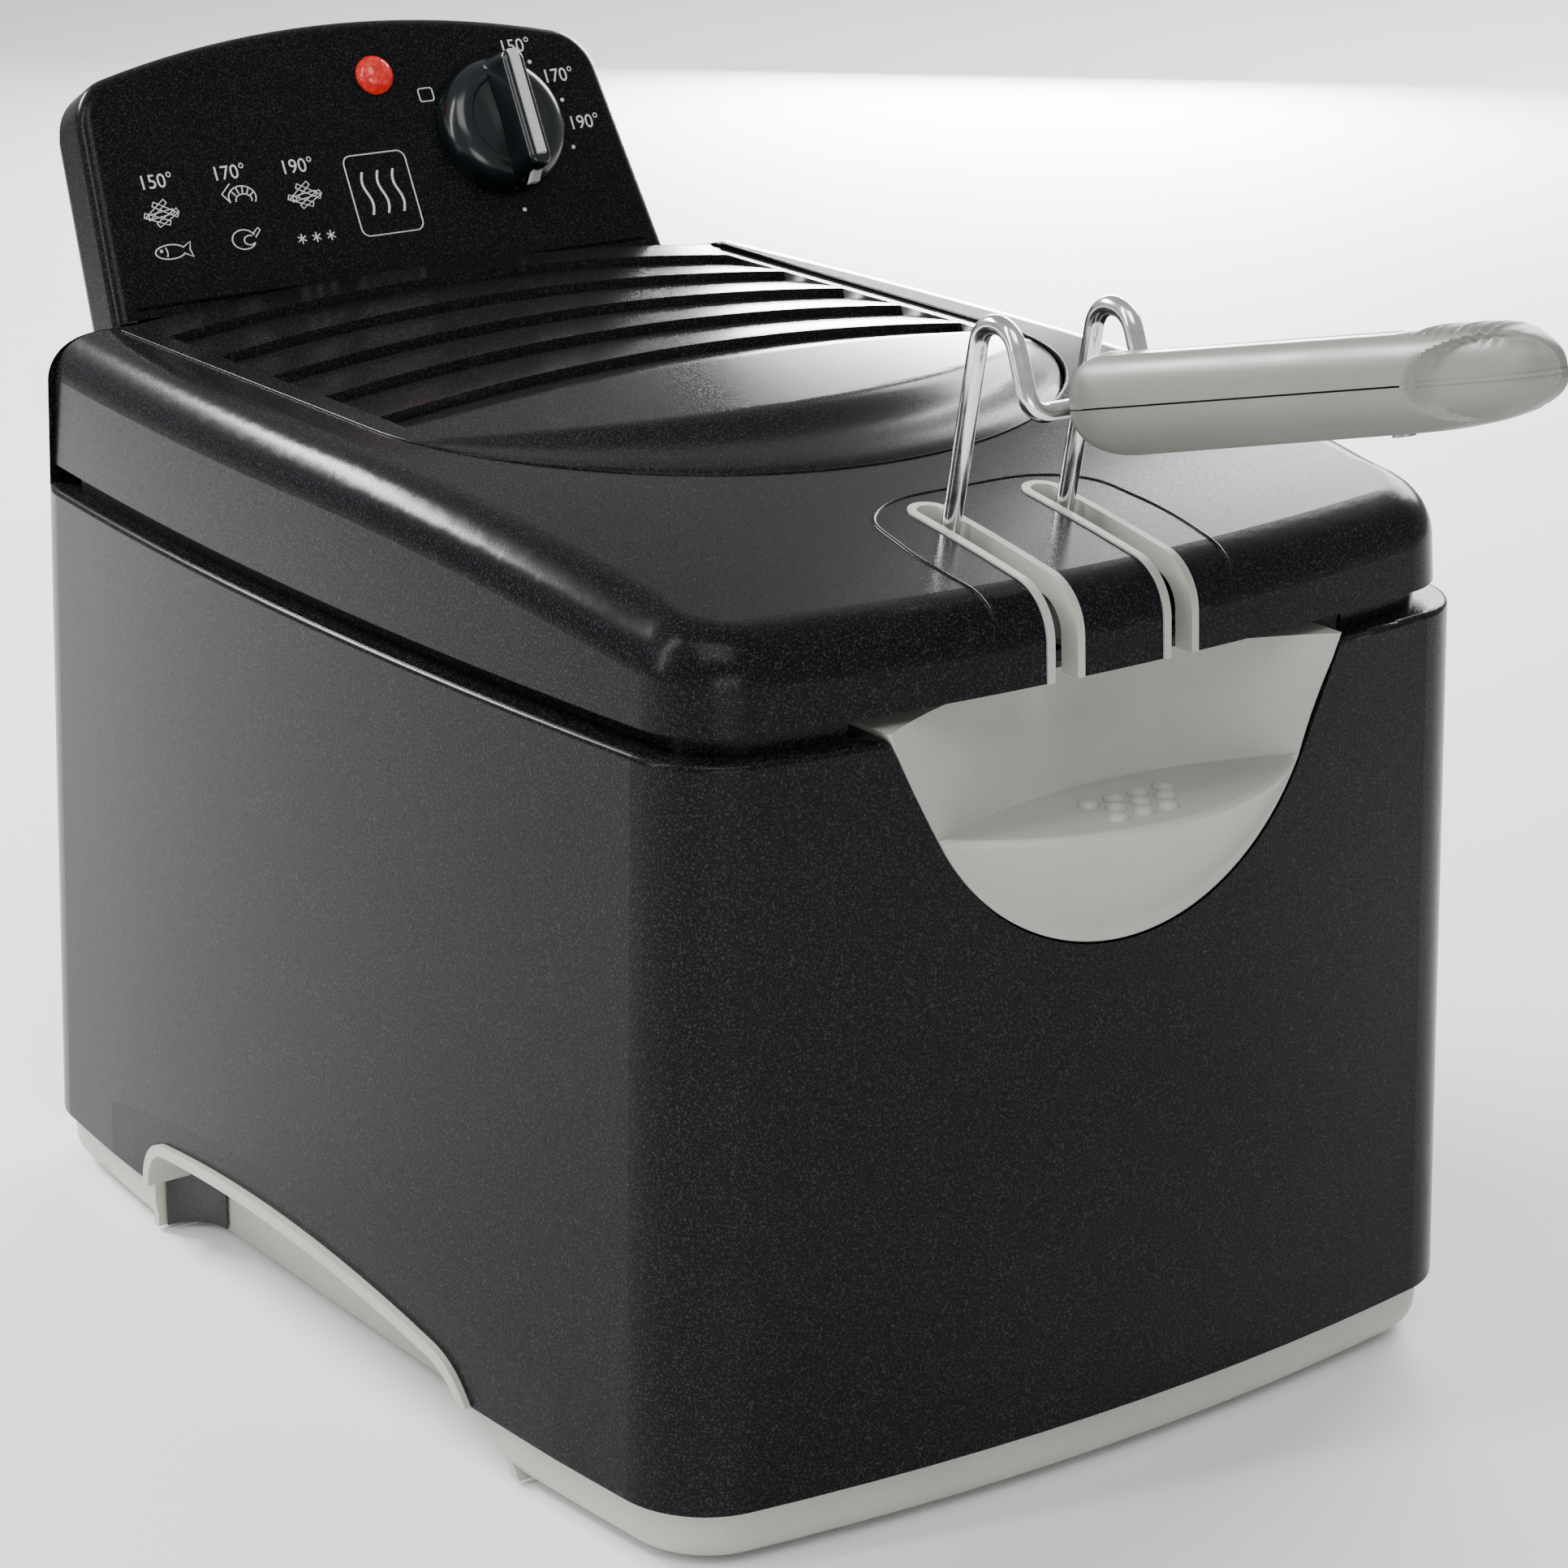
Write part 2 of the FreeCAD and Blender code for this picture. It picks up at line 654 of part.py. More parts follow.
def control_panel():
    thick = num("$panel_thick")
    outer = rounded("panel_corners", panel_slab("panel", 0, 0, thick), 15, panel_corner)
    outer = rounded("panel_rim", outer, 4, panel_rim_edge)
    inner = rounded("panel_inner_corners", panel_slab("panel_inner", -2.4, -2.4, thick), 12.6, panel_corner)
    body = cut("panel_shell", outer, inner)
    foot = box("panel_foot", (-86, "$panel_foot_back", "$seam_height + 5"),
               (86, "$panel_foot_back + 2.4", "$panel_foot_up + 1"))
    foot_face = fuse("panel_with_foot", [body, foot])
    shaft = tilt_to(cylinder("panel_shaft_hole", 4.6, 12), knob_spot(-8), PANEL_TURN)
    lens = tilt_to(cylinder("panel_lens_hole", "$lens_size - 0.9", 12), lens_spot(-8), PANEL_TURN)
    tube = cylinder("panel_tube_hole", 1.3, 30, y=180, z="$seam_height + $tube_rise", turn=XZ_TURN)
    return node(cut_all("control_panel", foot_face, [shaft, lens, tube]), "control_panel")


def back_screw_spots():
    """Where the heads of the back cover's screws sit: x, the head's inner face y, and z."""
    rear = num("$shell_depth") / 2
    return [(x, y, z) for x in (-62, 62) for y, z in ((rear + 32.4, 146), (rear + 35.7, 222))]


def control_back_cover():
    """The cover behind the panel: it follows the slab, swells in the middle and hangs behind the housing."""
    thick = num("$panel_thick")
    rear = num("$shell_depth") / 2
    slab = rounded("back_corners", panel_slab("back", -1.6, -thick - 0.3, 8), 13, panel_corner)
    slab = rounded("back_rim", slab, 5, lambda e: on_face(-thick - 8.3)(e))
    side = profile("back_side", YZ_TURN, (rear + 0.8, 128),
                   [(rear + 25, 128), (rear + 34, 140), (rear + 38, 232), (rear + 41, 262),
                    (rear + 50, 286), (rear + 36.2, 286), (rear + 0.8, 220.8)])
    bulge = prism("back_bulge_raw", side, (1, 0, 0), 78, 78)
    bulge = rounded("back_bulge", bulge, 7,
                    lambda edge: edge.CenterOfMass.y > rear + 20 and edge.BoundBox.XLength < 1)
    body = fuse("back_body", [slab, bulge])
    hollow_side = profile("back_hollow_side", YZ_TURN, (rear - 20, 131),
                          [(rear + 23, 131), (rear + 31, 142), (rear + 35, 232), (rear + 38, 262),
                           (rear + 46, 282.5), (rear + 20, 282.5), (rear - 20, 180)])
    hollow = prism("back_hollow", hollow_side, (1, 0, 0), 75, 75)
    slab_hollow = panel_slab("back_inner", -4.4, 2.0 - thick, 7.9)
    tools = [hollow, slab_hollow, cylinder("back_gland_hole", 7.6, 20, x=-50, y=rear + 14, z=120)]
    for x, y, z in back_screw_spots():
        tools.append(cylinder("back_head_hole", 3.1, 30, x=x, y=y + 30, z=z, turn=XZ_TURN))
        tools.append(cylinder("back_shank_hole", 1.6, 30, x=x, y=y + 1, z=z, turn=XZ_TURN))
    return node(cut_all("control_back_cover", body, tools), "control_back_cover")


def indicator():
    size = num("$lens_size")
    lens = revolved("indicator_lens", [
        (0, -4), (size - 1.2, -4), (size - 1.2, 0), (size, 0), (size, 1.0),
        (size * 0.72, 3.4, 0.4, 4.4), (0, 4.4)])
    lamp = revolved("indicator_lamp", [(0, -14), (2.4, -14), (2.4, -6), (1.7, -4.9, 0.3, -4.4), (0, -4.4)])
    node(tilt_to(lens, lens_spot(), PANEL_TURN), "indicator_lens")
    node(tilt_to(lamp, lens_spot(), PANEL_TURN), "indicator_lamp")


def knob_parts():
    """The temperature knob: a domed disc with a raised grip bar, its pointer and its shaft."""
    size = num("$knob_size")
    disc = revolved("knob_disc", [
        (0, 0.6), (size, 0.6), (size, 3.2), (size * 0.93, 6.6, size * 0.62, 9.0), (0, 10.2)])
    bar = grip_bar("knob_bar", 2 * size - 1.5, 10.5, 18.5)
    tilt_to(disc, knob_spot(), PANEL_TURN)
    tilt_to(bar, knob_spot(0.6), PANEL_TURN)
    groove = doc.addObject("Part::Feature", "knob_groove")
    groove.Shape = pointer_shape(0.25)
    groove.Placement = disc.Placement
    bore = tilt_to(cylinder("knob_bore", 3.06, 12), knob_spot(), PANEL_TURN)
    body = fuse("knob_body", [disc, bar])
    node(cut_all("knob", body, [groove, bore]), "knob")
    pointer = doc.addObject("Part::Feature", "knob_pointer")
    pointer.Shape = pointer_shape(0)
    pointer.Placement = disc.Placement
    node(pointer, "knob_pointer")
    shaft = tilt_to(cylinder("knob_shaft", 3.0, 34), knob_spot(-22.4), PANEL_TURN)
    node(shaft, "thermostat_shaft")


def grip_bar(name, length, width, height):
    """A grip bar with rounded ends and a narrowed crest, made as a PartDesign body."""
    body = doc.addObject("PartDesign::Body", name)
    plane = [f for f in body.Origin.OriginFeatures if f.Role == "XY_Plane"][0]
    sketch = body.newObject("Sketcher::SketchObject", name + "_plan")
    sketch.AttachmentSupport = [(plane, "")]
    sketch.MapMode = "FlatFace"
    half = length / 2 - width / 2
    wide = width / 2
    sketch.addGeometry(Part.LineSegment(Vector(-wide, -half, 0), Vector(-wide, half, 0)))
    sketch.addGeometry(Part.Arc(Vector(-wide, half, 0), Vector(0, half + wide, 0), Vector(wide, half, 0)))
    sketch.addGeometry(Part.LineSegment(Vector(wide, half, 0), Vector(wide, -half, 0)))
    sketch.addGeometry(Part.Arc(Vector(wide, -half, 0), Vector(0, -half - wide, 0), Vector(-wide, -half, 0)))
    pad = body.newObject("PartDesign::Pad", name + "_pad")
    pad.Profile = sketch
    pad.Length = height
    pad.TaperAngle = -5
    doc.recompute()
    top = [i for i, e in enumerate(pad.Shape.Edges, start=1) if at_height(height)(e)]
    soft = body.newObject("PartDesign::Fillet", name + "_soft")
    soft.Base = (pad, ["Edge%d" % i for i in top])
    soft.Radius = 1.6
    doc.recompute()
    return body


def pointer_shape(grow):
    """A bright inlay along the crest of the bar, bent down over its lower end."""
    size = num("$knob_size")
    wide = 1.5 + grow
    path = Part.makePolygon([
        Vector(0, size * 0.86, 17.2 - grow), Vector(0, -size * 0.72, 17.2 - grow),
        Vector(0, -size - 0.4, 9.4 - grow), Vector(0, -size - 0.4, 11.8),
        Vector(0, -size * 0.70, 19.7), Vector(0, size * 0.86, 19.7), Vector(0, size * 0.86, 17.2 - grow)])
    face = Part.Face(path)
    face.translate(Vector(-wide, 0, 0))
    return face.extrude(Vector(2 * wide, 0, 0))


def electrics():
    made = doc.addObject("Part::Feature", "thermostat")
    block = Part.makeBox(36, 34, 12, Vector(-18, -17, -12))
    made.Shape = block.cut(Part.makeCylinder(3.3, 30, Vector(0, 0, -20)))
    made.Placement = Placement(knob_spot(-4.4), PANEL_TURN)
    node(made, "thermostat")
    rear = num("$shell_depth") / 2
    cutout = box("cutout_body", (-52, rear + 6, 196), (-24, rear + 20, 214))
    node(rounded("thermal_cutout", cutout, 2, upright), "thermal_cutout")
    block = box("terminal_body", (-20, rear + 6, 150), (30, rear + 20, 166))
    slots = [box("terminal_slot", (12 * i - 16, rear + 4, 154), (12 * i - 9, rear + 14, 162))
             for i in range(4)]
    node(cut_all("terminal_block", block, slots), "terminal_block")
    gland = revolved("cord_gland", [(4.2, -4), (8.4, -4), (8.4, 0), (7.3, 0), (6.4, 12), (4.2, 12)],
                     x=-50, y=rear + 14, z=131, turn=Rotation(Vector(1, 0, 0), 180))
    node(gland, "cord_gland")


# ---------------------------------------------------------------- lid

def lid_form(name, grow):
    """The lid's outer form, made larger or smaller all round by grow."""
    whole = bowed_block(name + "_plan", "$lid_inset - (%s)" % grow, "$lid_low", 262, 175,
                        "$shell_corner - 2 + (%s)" % grow, "$lid_lean")
    side = profile(name + "_side", YZ_TURN, (-200, 150),
                   [(200, 150), (200, "$lid_top + %s" % grow), (0, "$lid_top - 0.6 + %s" % grow),
                    (-75, "$lid_top - 4.2 + %s" % grow, -150, "$lid_front_top + %s" % grow),
                    (-200, "$lid_front_top - 9.6 + %s" % grow)])
    topped = common(name + "_topped", whole, prism(name + "_top_form", side, (1, 0, 0), BIG, BIG))
    doc.recompute()

    def top_edge(edge):
        size = edge.BoundBox
        high = size.ZMin > 213 and size.YMax < 176
        outside = max(abs(size.XMin), abs(size.XMax)) > 100 or size.YMin < -140
        crosswise = abs(size.YLength) < 0.01 and size.YMin > -151
        return high and outside and not crosswise and not upright(edge) and size.XLength > 0.001

    return rounded(name + "_soft", topped, "$lid_rounding + (%s)*0.9" % grow, top_edge)


def lid_rear_cutter(name, grow):
    """Everything in front of the lid's rear wall, with the wall's top rounded about the hinge."""
    back = num("$lid_hinge_back")
    up = num("$lid_hinge_up")
    radius = num("$lid_rear") - back + grow
    arc = radius * math.sqrt(0.5)
    side = profile(name + "_side", YZ_TURN, (-250, 150),
                   [(back + radius, 150), (back + radius, up), (back + arc, up + arc, back, up + radius),
                    (back, 300), (-250, 300)])
    return prism(name, side, (1, 0, 0), BIG, BIG)


def cover_plan(name, grow, low, high):
    """The filter cover's outline: straight sides and an elliptic front."""
    side = num("$cover_side") + grow
    reach = num("$cover_reach") + grow
    middle = num("$cover_middle")
    rear = num("$cover_back")
    oval = oval_disc(name + "_oval", side, reach, low, high)
    block = box(name + "_rear", (-side, middle, low), (side, rear, high))
    return fuse(name, [oval, block])


def oval_disc(name, across, along, low, high):
    made = doc.addObject("Part::Feature", name)
    major, minor = max(across, along), min(across, along)
    oval = Part.Ellipse(Vector(0, 0, 0), major, minor).toShape()
    face = Part.Face(Part.Wire([oval]))
    if along > across:
        face.rotate(Vector(0, 0, 0), Vector(0, 0, 1), 90)
    face.translate(Vector(0, num("$cover_middle"), num(low)))
    made.Shape = face.extrude(Vector(0, 0, num(high) - num(low)))
    return made


def slot(name, x, width, rear, deep_low, front):
    """An upright slot with a round rear end, open at the front."""
    half = "(%s)/2" % width
    start = "-(%s) - %s" % (rear, half)
    run = box(name + "_run", ("%s - %s" % (x, half), front, deep_low), ("%s + %s" % (x, half), start, 300))
    end = cylinder(name + "_end", half, 300 - deep_low, x=x, y=start, z=deep_low)
    return fuse(name, [run, end])


def lid_shell():
    outer = common("lid_outer", lid_form("lid_out", 0), lid_rear_cutter("lid_rear_out", 0))
    inner = common("lid_inner", lid_form("lid_in", "-$lid_wall"), lid_rear_cutter("lid_rear_in", -2.6))
    skin = cut("lid_skin", outer, inner)
    tools = [cover_plan("lid_seat", 0.1, "$lid_top - 9", 300)]
    seat_ring = common("lid_seat_ring", cover_plan("lid_seat_pad", 3, "$lid_low + 10", "$lid_top"),
                       lid_form("lid_seat_form", -1.2))
    seat_zone = box("lid_seat_zone", (-BIG, -BIG, 0), (BIG, 136, BIG))
    body = fuse("lid_with_seat", [skin, common("lid_seat_kept", seat_ring, seat_zone)])
    hollow_ring = cover_plan("lid_seat_hollow", -6, 180, "$lid_top - 8")
    below_seat = box("lid_below_seat", (-BIG, -BIG, 190), (BIG, BIG, "$lid_top - 12"))
    room = common("lid_room", cover_plan("lid_room_plan", 1.2, 190, "$lid_top - 11.8"), below_seat)
    tools += [hollow_ring, room]
    for side in (-1, 1):
        word = "l" if side < 0 else "r"
        tools.append(slot("lid_slot_" + word, "%d*$wire_offset" % side, "$slot_outer + 0.1",
                          "$slot_rear - 0.05", 195, -BIG))
        low, high = sorted((side * 103.9, side * 108.1))
        tools.append(box("lid_hinge_notch_" + word, (low, 130, 190), (high, 160, "$lid_hinge_up + 5.9")))
    tools.append(box("lid_neck_notch", (-46, 140, 190), (46, 160, "$seam_height + 14")))
    node(cut_all("lid_shell", body, tools), "lid_shell")
    return inner


def slot_liner(side, word):
    """The light liner of one handle slot, standing slightly proud of the lid."""
    outer = common("liner_layer_" + word, lid_form("liner_out_" + word, 0.5),
                   lid_rear_cutter("liner_rear_" + word, 0))
    inner = lid_form("liner_in_" + word, -5.5)
    layer = cut("liner_skin_" + word, outer, inner)
    middle = "%d*$wire_offset" % side
    plan = slot("liner_plan_" + word, middle, "$slot_outer", "$slot_rear", 195, -BIG)
    body = common("liner_body_" + word, layer, plan)
    gap = slot("liner_gap_" + word, middle, "$slot_inner", "$slot_rear + 2.2", 190, -BIG)
    return node(cut("liner_" + word, body, gap), "slot_liner_" + word)


def filter_cover():
    """The vented cover on the lid: crowned, with five louvre slots and a sloping front."""
    top = num("$lid_top")
    crown = num("$cover_crown")
    gap = num("$cover_seam")
    plan = cover_plan("cover_plan", -gap, "$lid_top - 9", 300)
    radius = num("$crown_half") ** 2 / 2 / crown + crown / 2
    form = cylinder("cover_crown", radius, 2 * BIG, y=BIG, z=top + crown - radius, turn=XZ_TURN)
    under = cylinder("cover_under", radius - 2.6, 3 * BIG, y=1.5 * BIG, z=top + crown - radius, turn=XZ_TURN)
    front = profile("cover_front", YZ_TURN, (-150, 150),
                    [(151.0, 150), (151.0, top - 7), (146.5, top + 0.2), (145.5, top + crown + 1),
                     (-22, top + crown + 1), (-34, top + 0.5, -60, top - 4.6), (-150, top - 17)])
    limit = prism("cover_front_form", front, (1, 0, 0), BIG, BIG)
    solid = common("cover_block", common("cover_crowned", plan, form), limit)
    hollow_plan = cover_plan("cover_hollow_plan", -gap - 2.6, 180, 300)
    hollow_front = profile("cover_hollow_front", YZ_TURN, (-150, 150),
                           [(146.5, 150), (146.5, top + 20), (-24, top + 20), (-24, top + crown - 3.0),
                            (-36, top - 2.2, -62, top - 7.4), (-150, top - 20)])
    hollow = common("cover_hollow", common("cover_hollow_a", hollow_plan, under),
                    prism("cover_hollow_form", hollow_front, (1, 0, 0), BIG, BIG))
    vents = []
    for i in range(5):
        vents.append(box("cover_vent", (-70, 2 + 22.0 * i, 200), (70, 4.2 + 22.0 * i, 300)))
    return node(cut_all("filter_cover", solid, [hollow] + vents), "filter_cover")


def lid_inside():
    """The liner plate under the lid, its seal, the grease filter and the filter's holder."""
    plate_form = bowed_block("liner_plate_plan", 6.8, "$lid_low + 4.5", "$lid_low + 5.7", 134, 20, 0)
    opening = cover_plan("liner_plate_hole", -20, 150, 260)
    tools = [opening]
    for side in (-1, 1):
        tools.append(slot("liner_plate_slot", "%d*$wire_offset" % side, "$slot_outer + 4",
                          "$slot_rear - 2", 190, -BIG))
        low, high = sorted((side * 90.0, side * 112.0))
        tools.append(box("liner_plate_notch", (low, 128, 190), (high, 160, 260)))
    tools.append(box("liner_plate_neck", (-50, 112, 190), (50, 160, 260)))
    node(cut_all("lid_liner", plate_form, tools), "lid_liner")
    ring_out = round_box("seal_outer", (-101, -128, "$lid_low - 1.5"), (101, 116, "$lid_low + 4.5"), 22)
    ring_in = round_box("seal_inner", (-98, -125, 190), (98, 113, 260), 19)
    ring = cut("seal_ring", ring_out, ring_in)
    gaps = [box("seal_slot", (-32, -140, 190), (32, -110, 260)),
            box("seal_neck", (-50, 100, 190), (50, 130, "$lid_low"))]
    node(cut_all("lid_seal", ring, gaps), "lid_seal")
    tray = cover_plan("holder_outer", -17, "$lid_low + 6", "$lid_low + 15")
    inside = cover_plan("holder_inner", -18.5, "$lid_low + 7.2", 260)
    holes = [cylinder("holder_hole", 5, 40, x=-60 + 20 * i, y=-20 + 24 * j, z=195)
             for i in range(7) for j in range(6)]
    neck = box("holder_neck", (-60, 110, 190), (60, 160, 260))
    node(cut_all("filter_holder", tray, [inside, neck] + holes), "filter_holder")
    pad = cover_plan("filter_pad", -19.5, "$lid_low + 7.4", "$lid_low + 13.4")
    node(cut("grease_filter", pad, box("pad_neck", (-62, 108, 190), (62, 160, 260))), "grease_filter")


def hinge_parts(lid_room):
    """Posts on the housing's deck carry the lid on two pins, hidden inside the lid's rear corners."""
    turn = Rotation(Vector(0, 1, 0), 90)
    back = "$lid_hinge_back"
    up = "$lid_hinge_up"
    deck = "$seam_height + 0.05"
    middle = 106.0
    for side, word in ((-1, "left"), (1, "right")):
        low, high = sorted((side * (middle - 1.6), side * (middle + 1.6)))
        post = box("hinge_post_" + word, (low, back + " - 4.6", deck), (high, back + " + 4.6", up))
        head = cylinder("hinge_head_" + word, 4.6, high - low, x=low, y=back, z=up, turn=turn)
        foot = box("hinge_foot_" + word, (low - 3, back + " - 6", deck),
                   (high + 3, back + " + 6", "$seam_height + 2"))
        bore = cylinder("hinge_bore_" + word, 2.85, 60, x=side * middle - 30, y=back, z=up, turn=turn)
        body = fuse("hinge_body_" + word, [post, head, foot])
        node(cut("hinge_bracket_" + word, body, bore), word + "_hinge_bracket")
        pin = cylinder("hinge_pin_" + word, 2.5, 9.6, x=side * middle - 4.8, y=back, z=up, turn=turn)
        node(pin, word + "_hinge_pin")
        pin_hole = cylinder("hinge_pin_hole_" + word, 2.5, 60, x=side * middle - 30, y=back, z=up, turn=turn)
        ears = []
        for start, stop in ((100.9, 103.7), (108.3, 111.1)):
            a, b = sorted((side * start, side * stop))
            disc = cylinder("hinge_ear", 5.2, b - a, x=a, y=back, z=up, turn=turn)
            web = box("hinge_ear_web", (a, back, up + " - 8"), (b, "$lid_rear", up + " + 4"))
            whole = common("hinge_ear_trimmed", fuse("hinge_ear_body", [disc, web]), lid_room)
            ears.append(cut("hinge_ear_bored", whole, pin_hole))
        node(group("hinge_ears_" + word, ears), word + "_hinge_ears")


# ---------------------------------------------------------------- basket and handle

def basket():
    half = "$basket_half"
    outer = round_box("basket_outer", ("-" + half, "-$basket_front", "$basket_floor"),
                      (half, "$basket_rear", "$basket_rim"), 22)
    outer = rounded("basket_soft", outer, 9, at_height(num("$basket_floor")))
    inner = round_box("basket_inner", ("-" + half + " + 1.4", "-$basket_front + 1.4", "$basket_floor + 1.4"),
                      (half + " - 1.4", "$basket_rear - 1.4", 300), 20.6)
    inner = rounded("basket_inner_soft", inner, 7.6, at_height(num("$basket_floor + 1.4")))
    node(cut("basket_mesh", outer, inner), "basket_mesh")
    half_x = num(half) + 1.9
    front = -num("$basket_front") - 1.9
    rear = num("$basket_rear") + 1.9
    rim = num("$basket_rim") - 2
    loop = [(0, front, rim), (half_x, front, rim), (half_x, rear, rim), (-half_x, rear, rim),
            (-half_x, front, rim), (0, front, rim)]
    node(rod("basket_rim", loop, (24, 24, 24, 24), 1.8), "basket_rim")
    behind = front - 1.85
    ahead = -112.0
    for side, word in ((-1, "left"), (1, "right")):
        x = side * num("$wire_offset")
        back = box("socket_back_" + word, (x - 4.2, behind - 1.2, 140), (x + 4.2, behind, 168))
        walls = [box("socket_wall_" + word, (x + a, ahead, 150), (x + b, behind, 168))
                 for a, b in ((-4.2, -3.0), (3.0, 4.2))]
        sole = box("socket_sole_" + word, (x - 4.2, ahead, 149), (x + 4.2, behind, 150.2))
        node(fuse("socket_" + word, [back, sole] + walls), word + "_handle_socket")


def lean_point(z):
    """Where a handle wire's upright leg is at a height, going by its forward lean."""
    return -117.4 - (z - 232.6) * 0.189


def handle():
    up = num("$grip_up")
    back = -num("$grip_back")
    slope = math.tan(math.radians(num("$grip_tilt")))
    entry = -146.2
    reach = 25.8
    crest = 285.2
    level = up + (back - entry) * slope
    for side, word in ((-1, "left"), (1, "right")):
        x = side * num("$wire_offset")
        points = [(x, lean_point(151), 151), (x, lean_point(crest), crest), (x, -138.6, crest),
                  (x, entry, level), (side * GRIP_BORE, entry, level),
                  (side * GRIP_BORE, entry - reach, level + reach * slope)]
        node(rod("handle_wire_" + word, points, (7.0, 7.0, 5.0, 3.2), "$wire_size/2"), "handle_wire_" + word)
    tilt = num("$grip_tilt")
    turn = Rotation(Vector(1, 0, 0), -tilt)
    half = num("$grip_width") / 2
    tall = num("$grip_height")
    halves = (("grip_lower", -tall / 2, -0.1), ("grip_upper", 0.1, tall / 2))
    for label, z_low, z_high in halves:
        raw = doc.addObject("Part::Box", label + "_raw")
        raw.Length = 2 * half
        raw.Width = num("$grip_length")
        raw.Height = z_high - z_low
        raw.Placement = Placement(Vector(-half, -num("$grip_length"), z_low), Rotation())
        outer_level = z_low if label == "grip_lower" else z_high
        soft = rounded(label + "_ends", raw, 9, upright)
        soft = rounded(label + "_soft", soft, 7.5, at_height(outer_level))
        bores = []
        for x in (-GRIP_BORE, GRIP_BORE):
            bores.append(cylinder(label + "_bore", "$wire_size/2 + 0.05", 29, x=x, y=5, z=0, turn=XZ_TURN))
        for along in GRIP_SCREWS:
            bores.append(cylinder(label + "_screw_hole", 1.45, 20, y=along, z=3.7 - 20))
            bores.append(cylinder(label + "_head_hole", 2.7, 8, y=along, z=-tall / 2 + 1.8 - 8))
        bodied = cut_all(label + "_bored", soft, bores)
        doc.recompute()
        made = doc.addObject("Part::Feature", label)
        made.Shape = bodied.Shape.copy()
        made.Placement = Placement(Vector(0, back, up), turn)
        node(made, label)
    screws = []
    for along in GRIP_SCREWS:
        screw = doc.addObject("Part::Feature", "grip_screw_%d" % -along)
        head = Part.makeCylinder(2.6, 1.6, Vector(0, along, -tall / 2 + 0.2))
        shank = Part.makeCylinder(1.4, tall / 2 + 1.8, Vector(0, along, -tall / 2 + 1.8))
        screw.Shape = head.fuse(shank)
        screw.Placement = Placement(Vector(0, back, up), turn)
        screws.append(screw)
    return screws


# ---------------------------------------------------------------- small parts

def feet_and_screws():
    feet = []
    for x in (-92, 92):
        for y in (-122, 118):
            feet.append(revolved("foot", [(0, 0), (8.2, 0), (9, 1.0), (9, 1.5), (0, 1.5)], x=x, y=y))
    feet.append(revolved("middle_foot", [(0, 0), (14.2, 0), (15, 1.0), (15, 1.5), (0, 1.5)]))
    node(group("rubber_feet", feet), "rubber_feet")
    screws = []
    for x, y in BASE_SCREWS:
        screws.append(revolved(
            "base_screw", [(0, 1.7), (3.4, 1.7), (3.4, 3.0), (1.6, 3.0), (1.6, 13), (0, 13)], x=x, y=y))
    node(group("base_screws", screws), "base_screws")
    back_screws = []
    outward = Rotation(Vector(1, 0, 0), -90)
    for x, y, z in back_screw_spots():
        back_screws.append(revolved(
            "back_screw", [(0, -18), (1.5, -18), (1.5, 0), (3.0, 0), (3.0, 1.5), (0, 1.5)],
            x=x, y=y, z=z, turn=outward))
    node(group("back_cover_screws", back_screws), "back_cover_screws")


outer_housing()
base_tray()
grip_frame(-1, "left")
grip_frame(1, "right")
front_grip()
oil_pan()
heat_shield()
heating_element()
element_bracket()
sensors()
control_panel()
control_back_cover()
indicator()
knob_parts()
electrics()
lid_room = lid_shell()
slot_liner(-1, "left")
slot_liner(1, "right")
filter_cover()
lid_inside()
hinge_parts(lid_room)
basket()
grip_screws = handle()
node(group("grip_screws", grip_screws), "grip_screws")
feet_and_screws()

doc.recompute()
faults = []
for thing in doc.Objects:
    if "Invalid" in thing.State or "Error" in thing.State:
        faults.append("%s is %s" % (thing.Name, thing.State))
for label, thing in NODES.items():
    shape = thing.Shape
    if shape.isNull() or not shape.isValid() or not shape.Solids:
        faults.append("%s has no valid solid" % label)
if faults:
    raise RuntimeError("; ".join(faults))

os.makedirs("parts", exist_ok=True)
for label, thing in NODES.items():
    thing.Shape.exportStep("parts/%s.step" % label)
    size = thing.Shape.BoundBox
    print("%-22s solids %d  volume %9.0f  x %7.1f %7.1f  y %7.1f %7.1f  z %7.1f %7.1f" % (
        label, len(thing.Shape.Solids), thing.Shape.Volume, size.XMin, size.XMax, size.YMin, size.YMax,
        size.ZMin, size.ZMax))
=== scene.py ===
import json
import math

import bmesh
import bpy
from mathutils import Matrix, Vector
from mathutils.bvhtree import BVHTree


